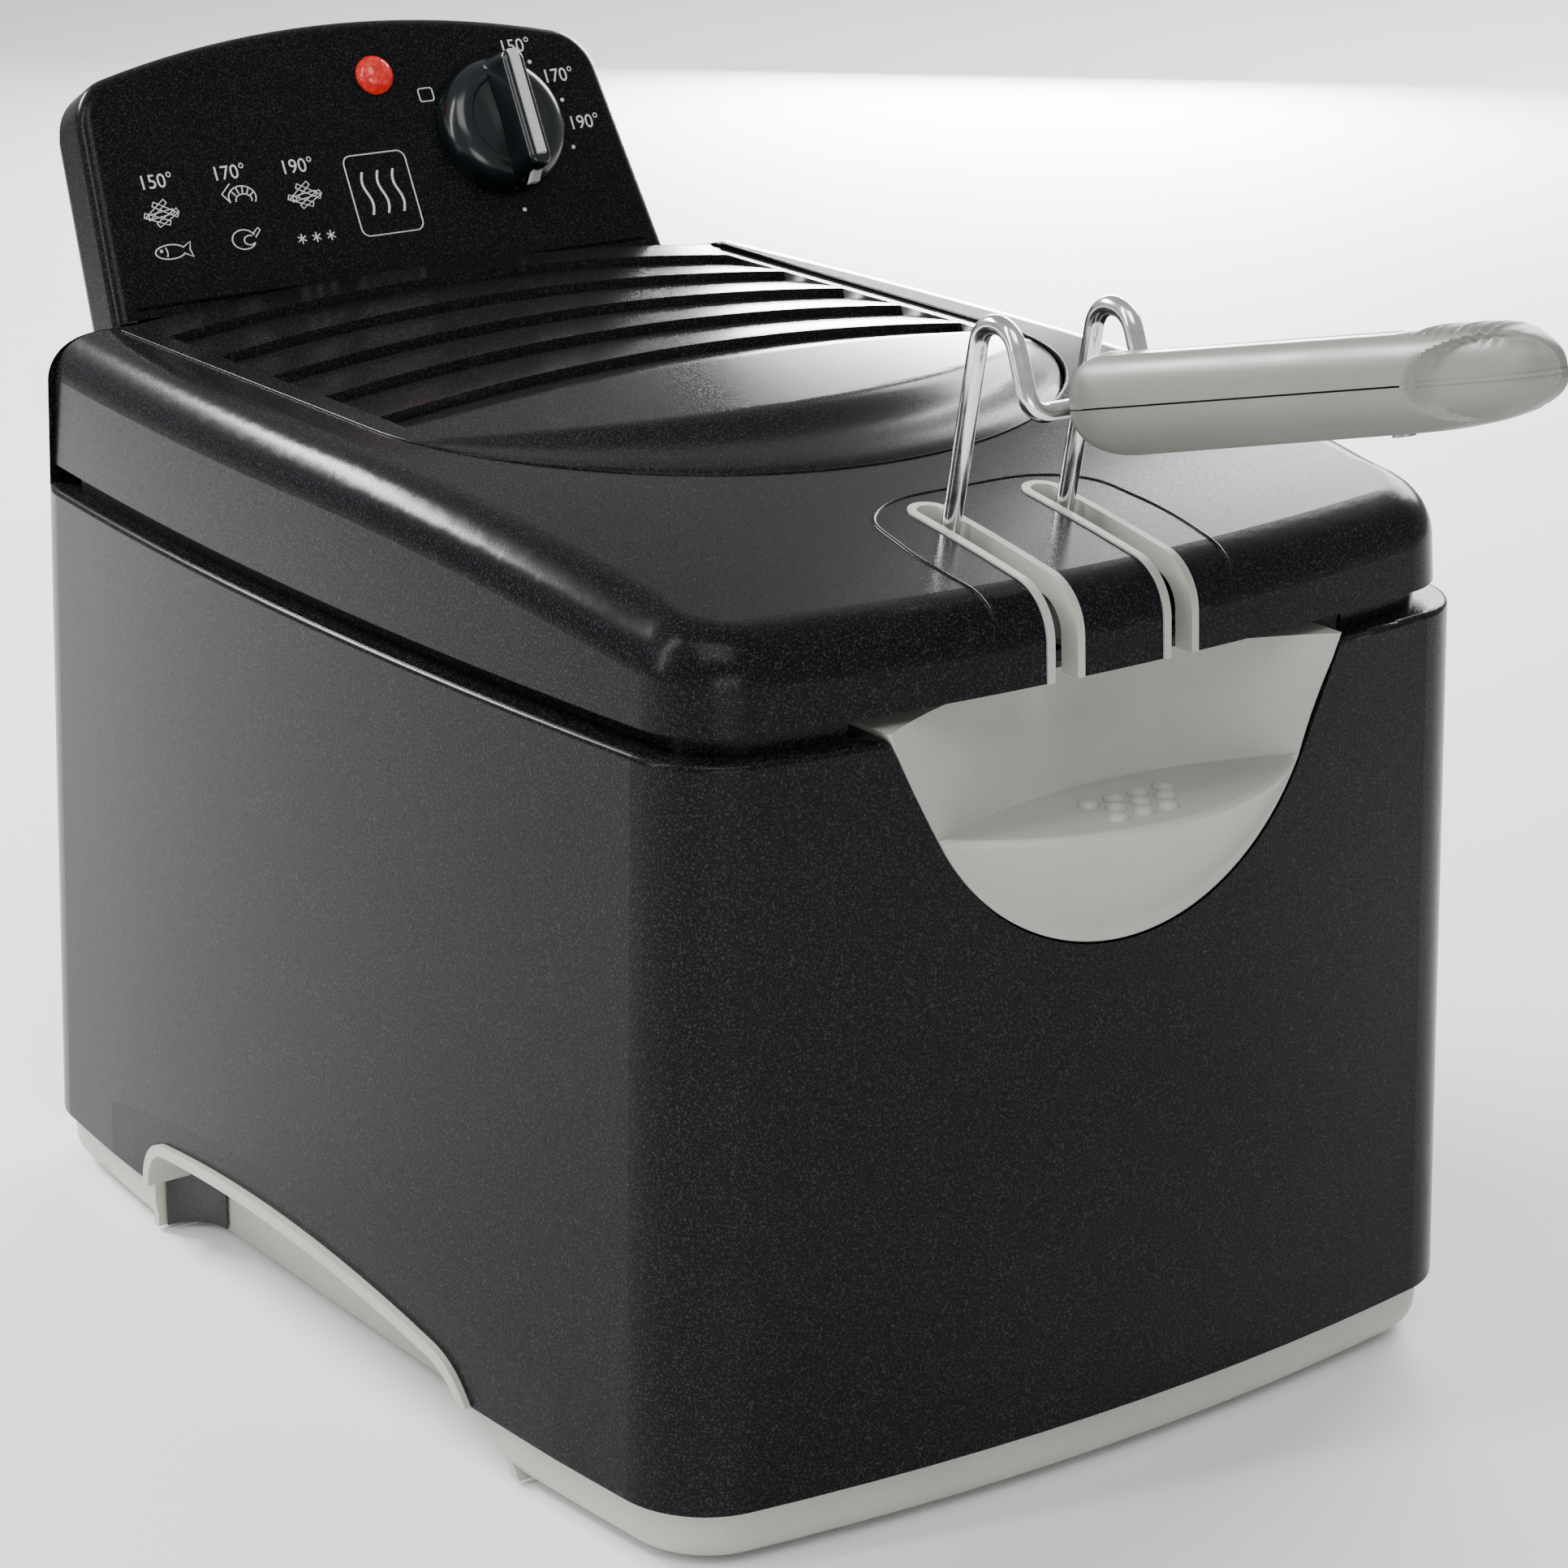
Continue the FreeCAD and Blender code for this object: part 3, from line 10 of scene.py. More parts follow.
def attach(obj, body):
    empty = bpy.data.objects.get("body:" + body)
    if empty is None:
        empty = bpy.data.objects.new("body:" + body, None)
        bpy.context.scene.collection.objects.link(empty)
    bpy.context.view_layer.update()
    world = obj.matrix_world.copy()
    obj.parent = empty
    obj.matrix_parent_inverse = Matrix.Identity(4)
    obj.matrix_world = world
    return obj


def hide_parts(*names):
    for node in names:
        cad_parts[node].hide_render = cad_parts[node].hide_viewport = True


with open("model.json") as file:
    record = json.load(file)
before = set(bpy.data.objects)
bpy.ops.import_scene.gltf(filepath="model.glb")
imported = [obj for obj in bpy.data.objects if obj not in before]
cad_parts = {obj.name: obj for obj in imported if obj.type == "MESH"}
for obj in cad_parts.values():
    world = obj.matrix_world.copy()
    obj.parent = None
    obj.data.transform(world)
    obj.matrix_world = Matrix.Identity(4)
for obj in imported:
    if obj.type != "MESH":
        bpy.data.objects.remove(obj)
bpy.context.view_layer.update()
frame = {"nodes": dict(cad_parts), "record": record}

# Looks of a household deep fryer. Metres, +Z up, the front faces -Y, +X is right seen from the
# front. The object's lengths are written in millimetres and multiplied by MM, the studio's are in metres.

MM = 0.001
nodes = frame["nodes"]
collection = bpy.context.scene.collection


# ---------------------------------------------------------------- node materials

class Look:
    """A procedural material on a Principled shader, in the object's own coordinates."""

    def __init__(self, name, color, roughness, **sockets):
        self.material = bpy.data.materials.new(name)
        self.material.use_nodes = True
        self.nodes = self.material.node_tree.nodes
        self.links = self.material.node_tree.links
        self.shader = self.nodes["Principled BSDF"]
        self.place = self.nodes.new("ShaderNodeTexCoord").outputs["Object"]
        self.shader.inputs["Base Color"].default_value = (*color, 1)
        self.shader.inputs["Roughness"].default_value = roughness
        for socket, value in sockets.items():
            self.shader.inputs[socket.replace("_", " ")].default_value = value

    def stretched(self, scale):
        """The object's coordinates stretched by a factor along each axis."""
        mapping = self.nodes.new("ShaderNodeMapping")
        mapping.inputs["Scale"].default_value = scale
        self.links.new(self.place, mapping.inputs["Vector"])
        return mapping.outputs["Vector"]

    def noise(self, grain, detail=2.0, rough=0.5, stretch=(1, 1, 1)):
        """Noise whose features are about grain metres across."""
        made = self.nodes.new("ShaderNodeTexNoise")
        made.inputs["Scale"].default_value = 1 / grain
        made.inputs["Detail"].default_value = detail
        made.inputs["Roughness"].default_value = rough
        self.links.new(self.stretched(stretch), made.inputs["Vector"])
        return made.outputs["Fac"]

    def ramp(self, source, stops):
        """A colour ramp; each stop is a position and an rgb colour or a grey."""
        made = self.nodes.new("ShaderNodeValToRGB")
        elements = made.color_ramp.elements
        while len(elements) < len(stops):
            elements.new(0.5)
        for element, (position, value) in zip(elements, stops):
            element.position = position
            rgb = value if isinstance(value, tuple) else (value, value, value)
            element.color = (*rgb, 1)
        self.links.new(source, made.inputs["Fac"])
        return made.outputs["Color"]

    def mixed(self, kind, first, second, factor=1.0):
        made = self.nodes.new("ShaderNodeMix")
        made.data_type = "RGBA"
        made.blend_type = kind
        made.inputs["Factor"].default_value = factor
        self.links.new(first, made.inputs["A"])
        self.links.new(second, made.inputs["B"])
        return made.outputs["Result"]

    def drive(self, socket, source):
        self.links.new(source, self.shader.inputs[socket])
        return self

    def bump(self, source, depth, strength=1.0):
        made = self.nodes.new("ShaderNodeBump")
        made.inputs["Distance"].default_value = depth
        made.inputs["Strength"].default_value = strength
        self.links.new(source, made.inputs["Height"])
        before = self.shader.inputs["Normal"].links
        if before:
            self.links.new(before[0].from_socket, made.inputs["Normal"])
        self.links.new(made.outputs["Normal"], self.shader.inputs["Normal"])
        return self


def metallic_black():
    """Anthracite moulded plastic with a fine metallic fleck."""
    look = Look("metallic_black", (0.03, 0.032, 0.036), 0.22, Specular_IOR_Level=0.10)
    fleck = look.noise(0.55 * MM, 1.0, 0.6)
    cloud = look.noise(40 * MM, 3.0)
    tint = look.ramp(fleck, [(0.38, (0.0025, 0.0028, 0.0032)), (0.54, (0.005, 0.0053, 0.006)),
                             (0.70, (0.026, 0.0275, 0.030))])
    shade = look.ramp(cloud, [(0.3, 0.88), (0.7, 1.0)])
    look.drive("Base Color", look.mixed("MULTIPLY", tint, shade))
    look.drive("Roughness", look.ramp(fleck, [(0.3, 0.28), (0.7, 0.18)]))
    return look.bump(look.noise(0.5 * MM, 1.0), 0.02 * MM, 0.35).material


def warm_grey(name="warm_grey", shade=1.0):
    """Warm light grey moulded plastic with a satin face; a lower shade is darker."""
    look = Look(name, (0.42, 0.41, 0.375), 0.42, Specular_IOR_Level=0.5)
    cloud = look.noise(30 * MM, 3.0)
    speck = look.noise(0.5 * MM, 1.0)
    dark = tuple(shade * part for part in (0.400, 0.392, 0.350))
    light = tuple(shade * part for part in (0.440, 0.430, 0.382))
    base = look.ramp(cloud, [(0.3, dark), (0.7, light)])
    grain = look.ramp(speck, [(0.3, 0.90), (0.7, 1.0)])
    look.drive("Base Color", look.mixed("MULTIPLY", base, grain))
    look.drive("Roughness", look.ramp(cloud, [(0.3, 0.46), (0.7, 0.36)]))
    return look.bump(speck, 0.02 * MM, 0.3).material


def bright_wire():
    look = Look("bright_wire", (0.78, 0.78, 0.78), 0.12, Metallic=1.0)
    wear = look.noise(6 * MM, 4.0)
    look.drive("Base Color", look.ramp(wear, [(0.3, (0.70, 0.70, 0.70)), (0.7, (0.84, 0.84, 0.83))]))
    look.drive("Roughness", look.ramp(wear, [(0.3, 0.10), (0.7, 0.22)]))
    return look.bump(look.noise(1.2 * MM, 2.0), 0.01 * MM, 0.3).material


def brushed(name, color, roughness, stretch=(1, 1, 30)):
    """Rolled or turned metal with fine lines along one axis."""
    look = Look(name, color, roughness, Metallic=1.0)
    lines = look.noise(1.6 * MM, 3.0, 0.6, tuple(1 / s for s in stretch))
    low = tuple(c * 0.80 for c in color)
    look.drive("Base Color", look.ramp(lines, [(0.3, low), (0.7, color)]))
    look.drive("Roughness", look.ramp(lines, [(0.3, roughness * 0.8), (0.7, min(1, roughness * 1.3))]))
    return look.bump(lines, 0.02 * MM, 0.3).material


def moulded(name, color, roughness, grain=0.8 * MM, fleck=0.85):
    """Plain moulded plastic or ceramic with a light texture."""
    look = Look(name, color, roughness)
    speck = look.noise(grain, 2.0)
    low = tuple(c * fleck for c in color)
    look.drive("Base Color", look.ramp(speck, [(0.3, low), (0.7, color)]))
    look.drive("Roughness", look.ramp(speck, [(0.3, min(1, roughness * 1.15)), (0.7, roughness * 0.9)]))
    return look.bump(speck, 0.03 * MM, 0.3).material


def red_jewel():
    look = Look("red_jewel", (0.55, 0.02, 0.015), 0.16, Transmission_Weight=0.35, IOR=1.49,
                Emission_Strength=0.35)
    look.shader.inputs["Emission Color"].default_value = (0.8, 0.03, 0.02, 1)
    facets = look.nodes.new("ShaderNodeTexVoronoi")
    facets.inputs["Scale"].default_value = 1 / (1.6 * MM)
    look.links.new(look.place, facets.inputs["Vector"])
    distance = facets.outputs["Distance"]
    look.drive("Base Color", look.ramp(distance, [(0.1, (0.75, 0.05, 0.03)), (0.7, (0.35, 0.01, 0.01))]))
    return look.bump(distance, 0.25 * MM, 0.6).material


def felt():
    look = Look("felt", (0.6, 0.6, 0.56), 0.95, Sheen_Weight=0.3)
    fibre = look.noise(1.5 * MM, 6.0, 0.7)
    look.drive("Base Color", look.ramp(fibre, [(0.3, (0.42, 0.42, 0.39)), (0.7, (0.68, 0.68, 0.63))]))
    return look.bump(fibre, 0.6 * MM, 0.8).material


LOOKS = {
    "black_body": metallic_black(),
    "grey_plastic": warm_grey(),
    "pan_steel": brushed("pan_steel", (0.60, 0.60, 0.59), 0.28, (30, 1, 1)),
    "sheet_steel": brushed("sheet_steel", (0.62, 0.62, 0.61), 0.30),
    "element_steel": brushed("element_steel", (0.22, 0.20, 0.18), 0.42, (1, 20, 1)),
    "copper_alloy": brushed("copper_alloy", (0.66, 0.40, 0.25), 0.35, (1, 20, 1)),
    "red_lens": red_jewel(),
    "lamp_glass": moulded("lamp_glass", (0.85, 0.45, 0.35), 0.2),
    "knob_black": moulded("knob_black", (0.005, 0.008, 0.009), 0.2, 1.5 * MM, 0.7),
    "pointer_grey": moulded("pointer_grey", (0.62, 0.61, 0.57), 0.35),
    "shaft_steel": brushed("shaft_steel", (0.60, 0.60, 0.60), 0.30, (20, 1, 1)),
    "ceramic": moulded("ceramic", (0.70, 0.68, 0.62), 0.6, 1.2 * MM),
    "black_trim": moulded("black_trim", (0.035, 0.035, 0.037), 0.5, 0.9 * MM, 0.7),
    "liner_aluminium": brushed("liner_aluminium", (0.70, 0.71, 0.72), 0.35, (30, 1, 1)),
    "seal_rubber": moulded("seal_rubber", (0.09, 0.09, 0.09), 0.7),
    "foot_rubber": moulded("foot_rubber", (0.03, 0.03, 0.03), 0.85, 1.0 * MM, 0.6),
    "filter_mat": felt(),
    "basket_wire": bright_wire(),
    "screw_steel": brushed("screw_steel", (0.30, 0.30, 0.29), 0.35),
}
for entry in frame["record"]["subparts"]:
    mesh = nodes[entry["node"]].data
    mesh.materials.clear()
    mesh.materials.append(LOOKS[entry["material_slot"]])


# ---------------------------------------------------------------- mesh helpers

def piece(name, mesh_or_curve, body, slot, look=None, replaced=()):
    """Links a new piece, and says what it rides on, is made of and stands for."""
    made = bpy.data.objects.new(name, mesh_or_curve)
    collection.objects.link(made)
    made.data.materials.append(look or LOOKS[slot])
    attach(made, body)
    if replaced:
        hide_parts(*replaced)
    return made


def mesh_from(name, bm, smooth_angle=35):
    """A mesh from a bmesh, smooth except across edges sharper than an angle."""
    bmesh.ops.recalc_face_normals(bm, faces=bm.faces)
    mesh = bpy.data.meshes.new(name)
    for face in bm.faces:
        face.smooth = True
    limit = math.radians(smooth_angle)
    for edge in bm.edges:
        edge.smooth = len(edge.link_faces) == 2 and edge.calc_face_angle(0) < limit
    bm.to_mesh(mesh)
    bm.free()
    return mesh


def strip(bm, first, second):
    """Faces between two rows of as many points."""
    for corners in zip(first, first[1:], second[1:], second):
        bm.faces.new(corners)


def bridge(bm, first, second):
    """Faces between two closed loops of as many points."""
    strip(bm, first + first[:1], second + second[:1])


def wire_curve(name, runs, radius, body, slot, replaced=(), look=None, resolution=2):
    """Round wires along runs of points; a run marked closed joins its ends."""
    curve = bpy.data.curves.new(name, "CURVE")
    curve.dimensions = "3D"
    curve.bevel_depth = radius * MM
    curve.bevel_resolution = resolution
    curve.use_fill_caps = True
    for points, closed in runs:
        spline = curve.splines.new("POLY")
        spline.points.add(len(points) - 1)
        for spot, point in zip(spline.points, points):
            spot.co = (*(Vector(point) * MM), 1)
        spline.use_cyclic_u = closed
    piece(name, curve, body, slot, look, replaced)


def skin_of(name):
    """The surface of a CAD node, for laying trim on it."""
    bm = bmesh.new()
    bm.from_mesh(nodes[name].data)
    tree = BVHTree.FromBMesh(bm)
    bm.free()
    return tree


def height_on(skin, x, y):
    """Height of a surface seen from above at a place, or None where there is none."""
    over_all = 300
    spot = skin.ray_cast(Vector((x, y, over_all)) * MM, Vector((0, 0, -1)))[0]
    return None if spot is None else spot.z / MM


# ---------------------------------------------------------------- filter cover

COVER_SIDE = 99.8           # half the cover's width
COVER_REAR = 151.0          # its rear edge
COVER_MIDDLE = 10.0         # centre of its elliptic front
COVER_REACH = 86.3          # how far the front comes forward of that centre
COVER_TOP = 243.0           # height of its edges at the rear
COVER_LIP = 3.0             # how far its rim turns down
COVER_WALL = 1.2
COVER_SINK = 0.3            # how far the visor's foot lies under the lid's top
COVER_FOOT = 0.8            # and how far the front edge drops from there
LID_TOP = 242.4             # height of the lid's top in the middle
LID_RISE = 0.003            # its slope towards the rear
LID_BEND = 0.00064          # its curve towards the front
CROWN = 5.0                 # how much the middle stands over the edges
CROWN_HALF = 93.0           # where the crown has fallen to the edges' height
LOUVRES = (19.0, 46.0, 73.0, 101.0, 129.0)
LOUVRE_DROP = 2.6
LOUVRE_HALF = 92.5
LOUVRE_END = 1.2            # width of the wall at a louvre's end
LOUVRE_BULGE = 3.0          # how far the louvres bow to the rear in the middle
BULGE_FRONT = 10.0          # lengths over which that bow starts and stops
BULGE_REAR = 15.0
LOUVRE_EASE = 13.0          # length of the slope in front of the first louvre
TREAD_CURVE = 1.4
TREAD_ROWS = 7
TREAD_EDGES = 1.2
RISER_ROWS = (0.7, 0.05, -0.45)
REAR_ROWS = (COVER_REAR, 149.5, 147.5, 146.5, 144.0, 137.0, 133.0)
ROLL_START = 144.0          # the rear edge rolls down from here
ROLL_HEIGHT = 243.2
ROLL_LENGTH = 2.5
ROLL_FALL_START = 147.0
ROLL_FALL = 0.4
VISOR_END = -8.0            # the platform's front edge at its two ends
VISOR_MIDDLE = -46.0        # and in the middle
VISOR_LEAST = 0.5           # the least length of the visor
VISOR_PROFILE = ((0.0, 0.0), (0.06, 0.05), (0.36, 0.52), (0.46, 0.60), (0.74, 0.76), (0.82, 0.83), (1.0, 1.0))
HALF_COLUMNS = 56
FRONT_ROWS = 34


def lid_top(y):
    """Height of the lid's top along the middle, for the seam at the cover's front."""
    if y >= 0:
        return LID_TOP + LID_RISE * y
    return LID_TOP - LID_BEND * y * y


def crown(x):
    return COVER_TOP + CROWN * (1 - (x / CROWN_HALF) ** 2)


def louvre_drop(y):
    """How far the louvred surface lies under the crown: each tread falls to the foot of a riser."""
    if y >= LOUVRES[-1] or y <= LOUVRES[0] - LOUVRE_EASE:
        return 0.0
    if y < LOUVRES[0]:
        return LOUVRE_DROP * (1 - (LOUVRES[0] - y) / LOUVRE_EASE)
    for front, rear in zip(LOUVRES, LOUVRES[1:]):
        if front <= y < rear:
            return LOUVRE_DROP * ((y - front) / (rear - front)) ** TREAD_CURVE
    return 0.0


def visor_fall(t):
    """The visor's profile from the platform's edge (0) to the seam (1): steep, a facet, steep."""
    for (a, low), (b, high) in zip(VISOR_PROFILE, VISOR_PROFILE[1:]):
        if t <= b:
            return low + (high - low) * (t - a) / (b - a)
    return 1.0


def cover_columns():
    """Places across the cover, with one on each side of a louvre's end wall."""
    columns = [COVER_SIDE * math.sin(math.pi / 2 * i / HALF_COLUMNS)
               for i in range(-HALF_COLUMNS, HALF_COLUMNS + 1)]
    for edge in (LOUVRE_HALF, LOUVRE_HALF + LOUVRE_END):
        for side in (-1, 1):
            nearest = min(range(len(columns)), key=lambda i: abs(columns[i] - side * edge))
            columns[nearest] = side * edge
    return sorted(set(columns))


def cover_rows():
    """Places along the cover from its rear to its middle, closer together at each riser."""
    rows = list(REAR_ROWS)
    for front, rear in reversed(list(zip((LOUVRES[0] - LOUVRE_EASE,) + LOUVRES, LOUVRES))):
        rows += [rear + shift for shift in RISER_ROWS]
        rows += [rear + RISER_ROWS[-1] - (rear - front - TREAD_EDGES) * i / TREAD_ROWS
                 for i in range(1, TREAD_ROWS)]
    return [y for y in rows if y > COVER_MIDDLE] + [COVER_MIDDLE]


def cover_line(x, rows):
    """Points of the cover at one place across it, from under its rear edge to under its front edge."""
    inside = max(0.0, 1 - (x / CROWN_HALF) ** 2)
    louvred = abs(x) <= LOUVRE_HALF
    line = []
    for y in rows:
        bend = min(1.0, (y - COVER_MIDDLE) / BULGE_FRONT) * min(1.0, (COVER_REAR - y) / BULGE_REAR)
        z = crown(x) - louvred * louvre_drop(y)
        if y > ROLL_START:
            z = min(z, ROLL_HEIGHT + (crown(x) - ROLL_HEIGHT) * min(1, (COVER_REAR - y) / ROLL_LENGTH))
            z -= max(0, y - ROLL_FALL_START) * ROLL_FALL
        line.append(Vector((x, y + LOUVRE_BULGE * inside * bend, z)))
    front = COVER_MIDDLE - COVER_REACH * math.sqrt(max(0.0, 1 - (x / COVER_SIDE) ** 2))
    edge = max(VISOR_END + (VISOR_MIDDLE - VISOR_END) * inside, front + VISOR_LEAST)
    for i in range(1, FRONT_ROWS + 1):
        y = COVER_MIDDLE - (COVER_MIDDLE - front) * i / FRONT_ROWS
        z = crown(x) - louvred * louvre_drop(y)
        if y < edge:
            z += (lid_top(front) - COVER_SINK - z) * visor_fall((edge - y) / (edge - front))
        line.append(Vector((x, y, z)))
    line[-1].z -= COVER_FOOT
    line.append(Vector((x, front, line[-1].z - COVER_LIP)))
    line.insert(0, Vector((x, COVER_REAR, line[0].z - COVER_LIP)))
    return line


def filter_cover():
    """The vented cover: a crowned sheet with louvres, a sloping visor and a rim down to the seat."""
    rows = cover_rows()
    bm = bmesh.new()
    grid = [[bm.verts.new(point * MM) for point in cover_line(x, rows)] for x in cover_columns()]
    for left, right in zip(grid, grid[1:]):
        for corners in zip(left, right, right[1:], left[1:]):
            bm.faces.new(corners)
    for line in (grid[0], grid[-1]):
        strip(bm, line, [bm.verts.new(spot.co - Vector((0, 0, COVER_LIP * MM))) for spot in line])
    bmesh.ops.remove_doubles(bm, verts=bm.verts, dist=0.02 * MM)
    made = piece("filter_cover_skin", mesh_from("filter_cover_skin", bm, 28), "lid", "black_body",
                 replaced=("filter_cover",))
    solid = made.modifiers.new("wall", "SOLIDIFY")
    solid.thickness = COVER_WALL * MM
    solid.offset = -1


LIP_SIDE, LIP_REACH = 100.9, 87.4   # plan of the line round the cover
LIP_REAR, LIP_STEP, LIP_STEPS = 142.0, 4, 33
LIP_RADIUS, LIP_PROUD = 0.45, 0.05
LIP_OUT, LIP_AHEAD = 1.006, 0.6     # the lid's height is taken this much outside the line
LID_LOWEST = 200


def cover_edge():
    """The rolled lip that shows as a fine line all round the filter cover."""
    skin = skin_of("lid_shell")
    sides = [LIP_REAR - LIP_STEP * i for i in range(LIP_STEPS)]
    bends = [math.radians(2 * i) for i in range(91)]
    plan = [(-LIP_SIDE, y) for y in sides]
    plan += [(-LIP_SIDE * math.cos(t), COVER_MIDDLE - LIP_REACH * math.sin(t)) for t in bends]
    plan += [(LIP_SIDE, y) for y in reversed(sides)]
    points = []
    for x, y in plan:
        z = height_on(skin, x * LIP_OUT, y - (LIP_AHEAD if y < COVER_MIDDLE else 0))
        if z is not None and z > LID_LOWEST:
            points.append((x, y, z + LIP_PROUD))
    wire_curve("cover_edge", [(points, False)], LIP_RADIUS, "lid", "black_body")


# ---------------------------------------------------------------- lid emboss

EMBOSS_CORNERS = [(-36.5, -157.5), (-37.0, -122.0), (-31.5, -105.5), (0.0, -98.5), (31.5, -105.5),
                  (37.0, -122.0), (36.5, -157.5)]
EMBOSS_RADIUS, EMBOSS_SUNK = 0.65, 0.25


def slot_emboss():
    """The raised line on the lid that frames the two handle slots, open towards the front."""
    skin = skin_of("lid_shell")
    plan = bpy.data.curves.new("emboss_plan", "CURVE")
    plan.dimensions = "3D"
    spline = plan.splines.new("BEZIER")
    spline.bezier_points.add(len(EMBOSS_CORNERS) - 1)
    for spot, (x, y) in zip(spline.bezier_points, EMBOSS_CORNERS):
        spot.co = (x * MM, y * MM, 0)
        spot.handle_left_type = spot.handle_right_type = "AUTO"
    spline.resolution_u = 14
    holder = bpy.data.objects.new("emboss_plan", plan)
    points = []
    for vertex in bpy.data.meshes.new_from_object(holder).vertices:
        x, y = vertex.co.x / MM, vertex.co.y / MM
        z = height_on(skin, x, y)
        if z is not None:
            points.append((x, y, z - EMBOSS_SUNK))
    bpy.data.objects.remove(holder)
    wire_curve("slot_emboss", [(points, False)], EMBOSS_RADIUS, "lid", "black_body")


# ---------------------------------------------------------------- ledge domes

DOME_ROWS = ((-163.5, (-11.5, -3.8, 3.8, 11.5)), (-169.0, (-7.6, 0.0, 7.6)), (-174.5, (-11.5, -3.8, 3.8)))
DOME_HALF, DOME_TALL, DOME_TIP = 2.7, 1.7, 0.02
DOME_LEVELS, DOME_SIDES = 6, 18
LEDGE = 174.4               # height of the ledge


def ledge_domes():
    """The ten small domes that roughen the ledge of the front bowl."""
    bm = bmesh.new()
    turns = [2 * math.pi * k / DOME_SIDES for k in range(DOME_SIDES)]
    for x, y in [(x, y) for y, places in DOME_ROWS for x in places]:
        levels = []
        for level in range(DOME_LEVELS + 1):
            lift = math.pi / 2 * level / DOME_LEVELS
            reach = max(DOME_TIP, DOME_HALF * math.cos(lift))
            z = LEDGE + DOME_TALL * math.sin(lift)
            levels.append([bm.verts.new(Vector((x + reach * math.cos(t), y + reach * math.sin(t), z)) * MM)
                           for t in turns])
        for low, high in zip(levels, levels[1:]):
            bridge(bm, low, high)
        bm.faces.new(levels[-1])
        bm.faces.new(list(reversed(levels[0])))
    piece("ledge_domes", mesh_from("ledge_domes", bm, 50), "root", "grey_plastic")


# ---------------------------------------------------------------- rim upstand and recess shade

SIDES = ((-1, "left"), (1, "right"))
SHELL_HALF, SHELL_FRONT = 130.0, -165.0
SIDE_BOW, FRONT_BOW = 9.8, 12.0
UPSTAND_INSET, UPSTAND_CORNER, UPSTAND_REAR = 6.6, 20.0, 140.0
UPSTAND_LOW, UPSTAND_HIGH, UPSTAND_THICK = 200.4, 205.6, 1.2
UPSTAND_START = (76.0, 84.0, 92.0)  # its first places beside the bowl
CORNER_STEPS, SIDE_STEPS = 8, 12
SHADE_X, SHADE_Y, SHADE_RADIUS = 126.0, 76.5, 12.4
SHADE_LOW, SHADE_HIGH, SHADE_THICK = 2.0, 29.5, 0.5


def wall(name, outline, low, high, thick, slot):
    """A thin upright wall along an open outline, thickened to its left."""
    bm = bmesh.new()
    rows = []
    for before, (x, y), after in zip([outline[0]] + outline[:-1], outline, outline[1:] + [outline[-1]]):
        along = Vector((after[0] - before[0], after[1] - before[1], 0)).normalized()
        left = Vector((-along.y, along.x, 0)) * thick
        rows.append([bm.verts.new((Vector((x, y, z)) + shift) * MM)
                     for z, shift in ((low, Vector()), (high, Vector()), (high, left), (low, left))])
    for first, second in zip(rows, rows[1:]):
        bridge(bm, first, second)
    bm.faces.new(rows[0])
    bm.faces.new(list(reversed(rows[-1])))
    piece(name, mesh_from(name, bm), "root", slot)


def upstand_outline(side):
    """The upstand's plan on one side: from beside the bowl round the corner to the rear."""
    def side_x(y):
        return SHELL_HALF - UPSTAND_INSET - SIDE_BOW * (y / SHELL_FRONT) ** 2

    def front_y(x):
        return SHELL_FRONT + UPSTAND_INSET + FRONT_BOW * (x / SHELL_HALF) ** 2
    bend_x = side_x(SHELL_FRONT + UPSTAND_INSET) - UPSTAND_CORNER
    bend_y = front_y(bend_x) + UPSTAND_CORNER
    points = [(x, front_y(x)) for x in UPSTAND_START + (bend_x,)]
    for step in range(1, CORNER_STEPS + 1):
        turn = math.pi / 2 * step / CORNER_STEPS
        points.append((bend_x + UPSTAND_CORNER * math.sin(turn), bend_y - UPSTAND_CORNER * math.cos(turn)))
    x, start = points[-1]
    off = x - side_x(start)
    for step in range(1, SIDE_STEPS + 1):
        y = start + (UPSTAND_REAR - start) * step / SIDE_STEPS
        points.append((side_x(y) + off * (1 - step / SIDE_STEPS), y))
    return [(side * x, y) for x, y in points]


def rim_upstand():
    """The black upstand on the housing's rim that closes the view into the gap under the lid."""
    for side, word in SIDES:
        wall("rim_upstand_" + word, upstand_outline(side), UPSTAND_LOW, UPSTAND_HIGH, UPSTAND_THICK * side,
             "black_body")


def recess_shade():
    """A dark sheet at the rear end of each carrying recess, behind the light strip: painted shade that stands
    for the shadowed hollow.
    """
    turns = [math.radians(9 * k) for k in range(11)]
    for side, word in SIDES:
        bend = [(side * (SHADE_X - SHADE_RADIUS * math.cos(t)), SHADE_Y + SHADE_RADIUS * math.sin(t))
                for t in turns]
        # painted shade: a dark sheet where the hollow only lies in shadow
        wall("recess_painted_shade_" + word, bend, SHADE_LOW, SHADE_HIGH, -SHADE_THICK * side, "black_trim")


# ---------------------------------------------------------------- handle grip

GRIP_TILT = math.radians(14.2)
GRIP_START = Vector((0, -149.6, 267.0))
GRIP_ALONG = Vector((0, -math.cos(GRIP_TILT), math.sin(GRIP_TILT)))
GRIP_UP = Vector((0, math.sin(GRIP_TILT), math.cos(GRIP_TILT)))
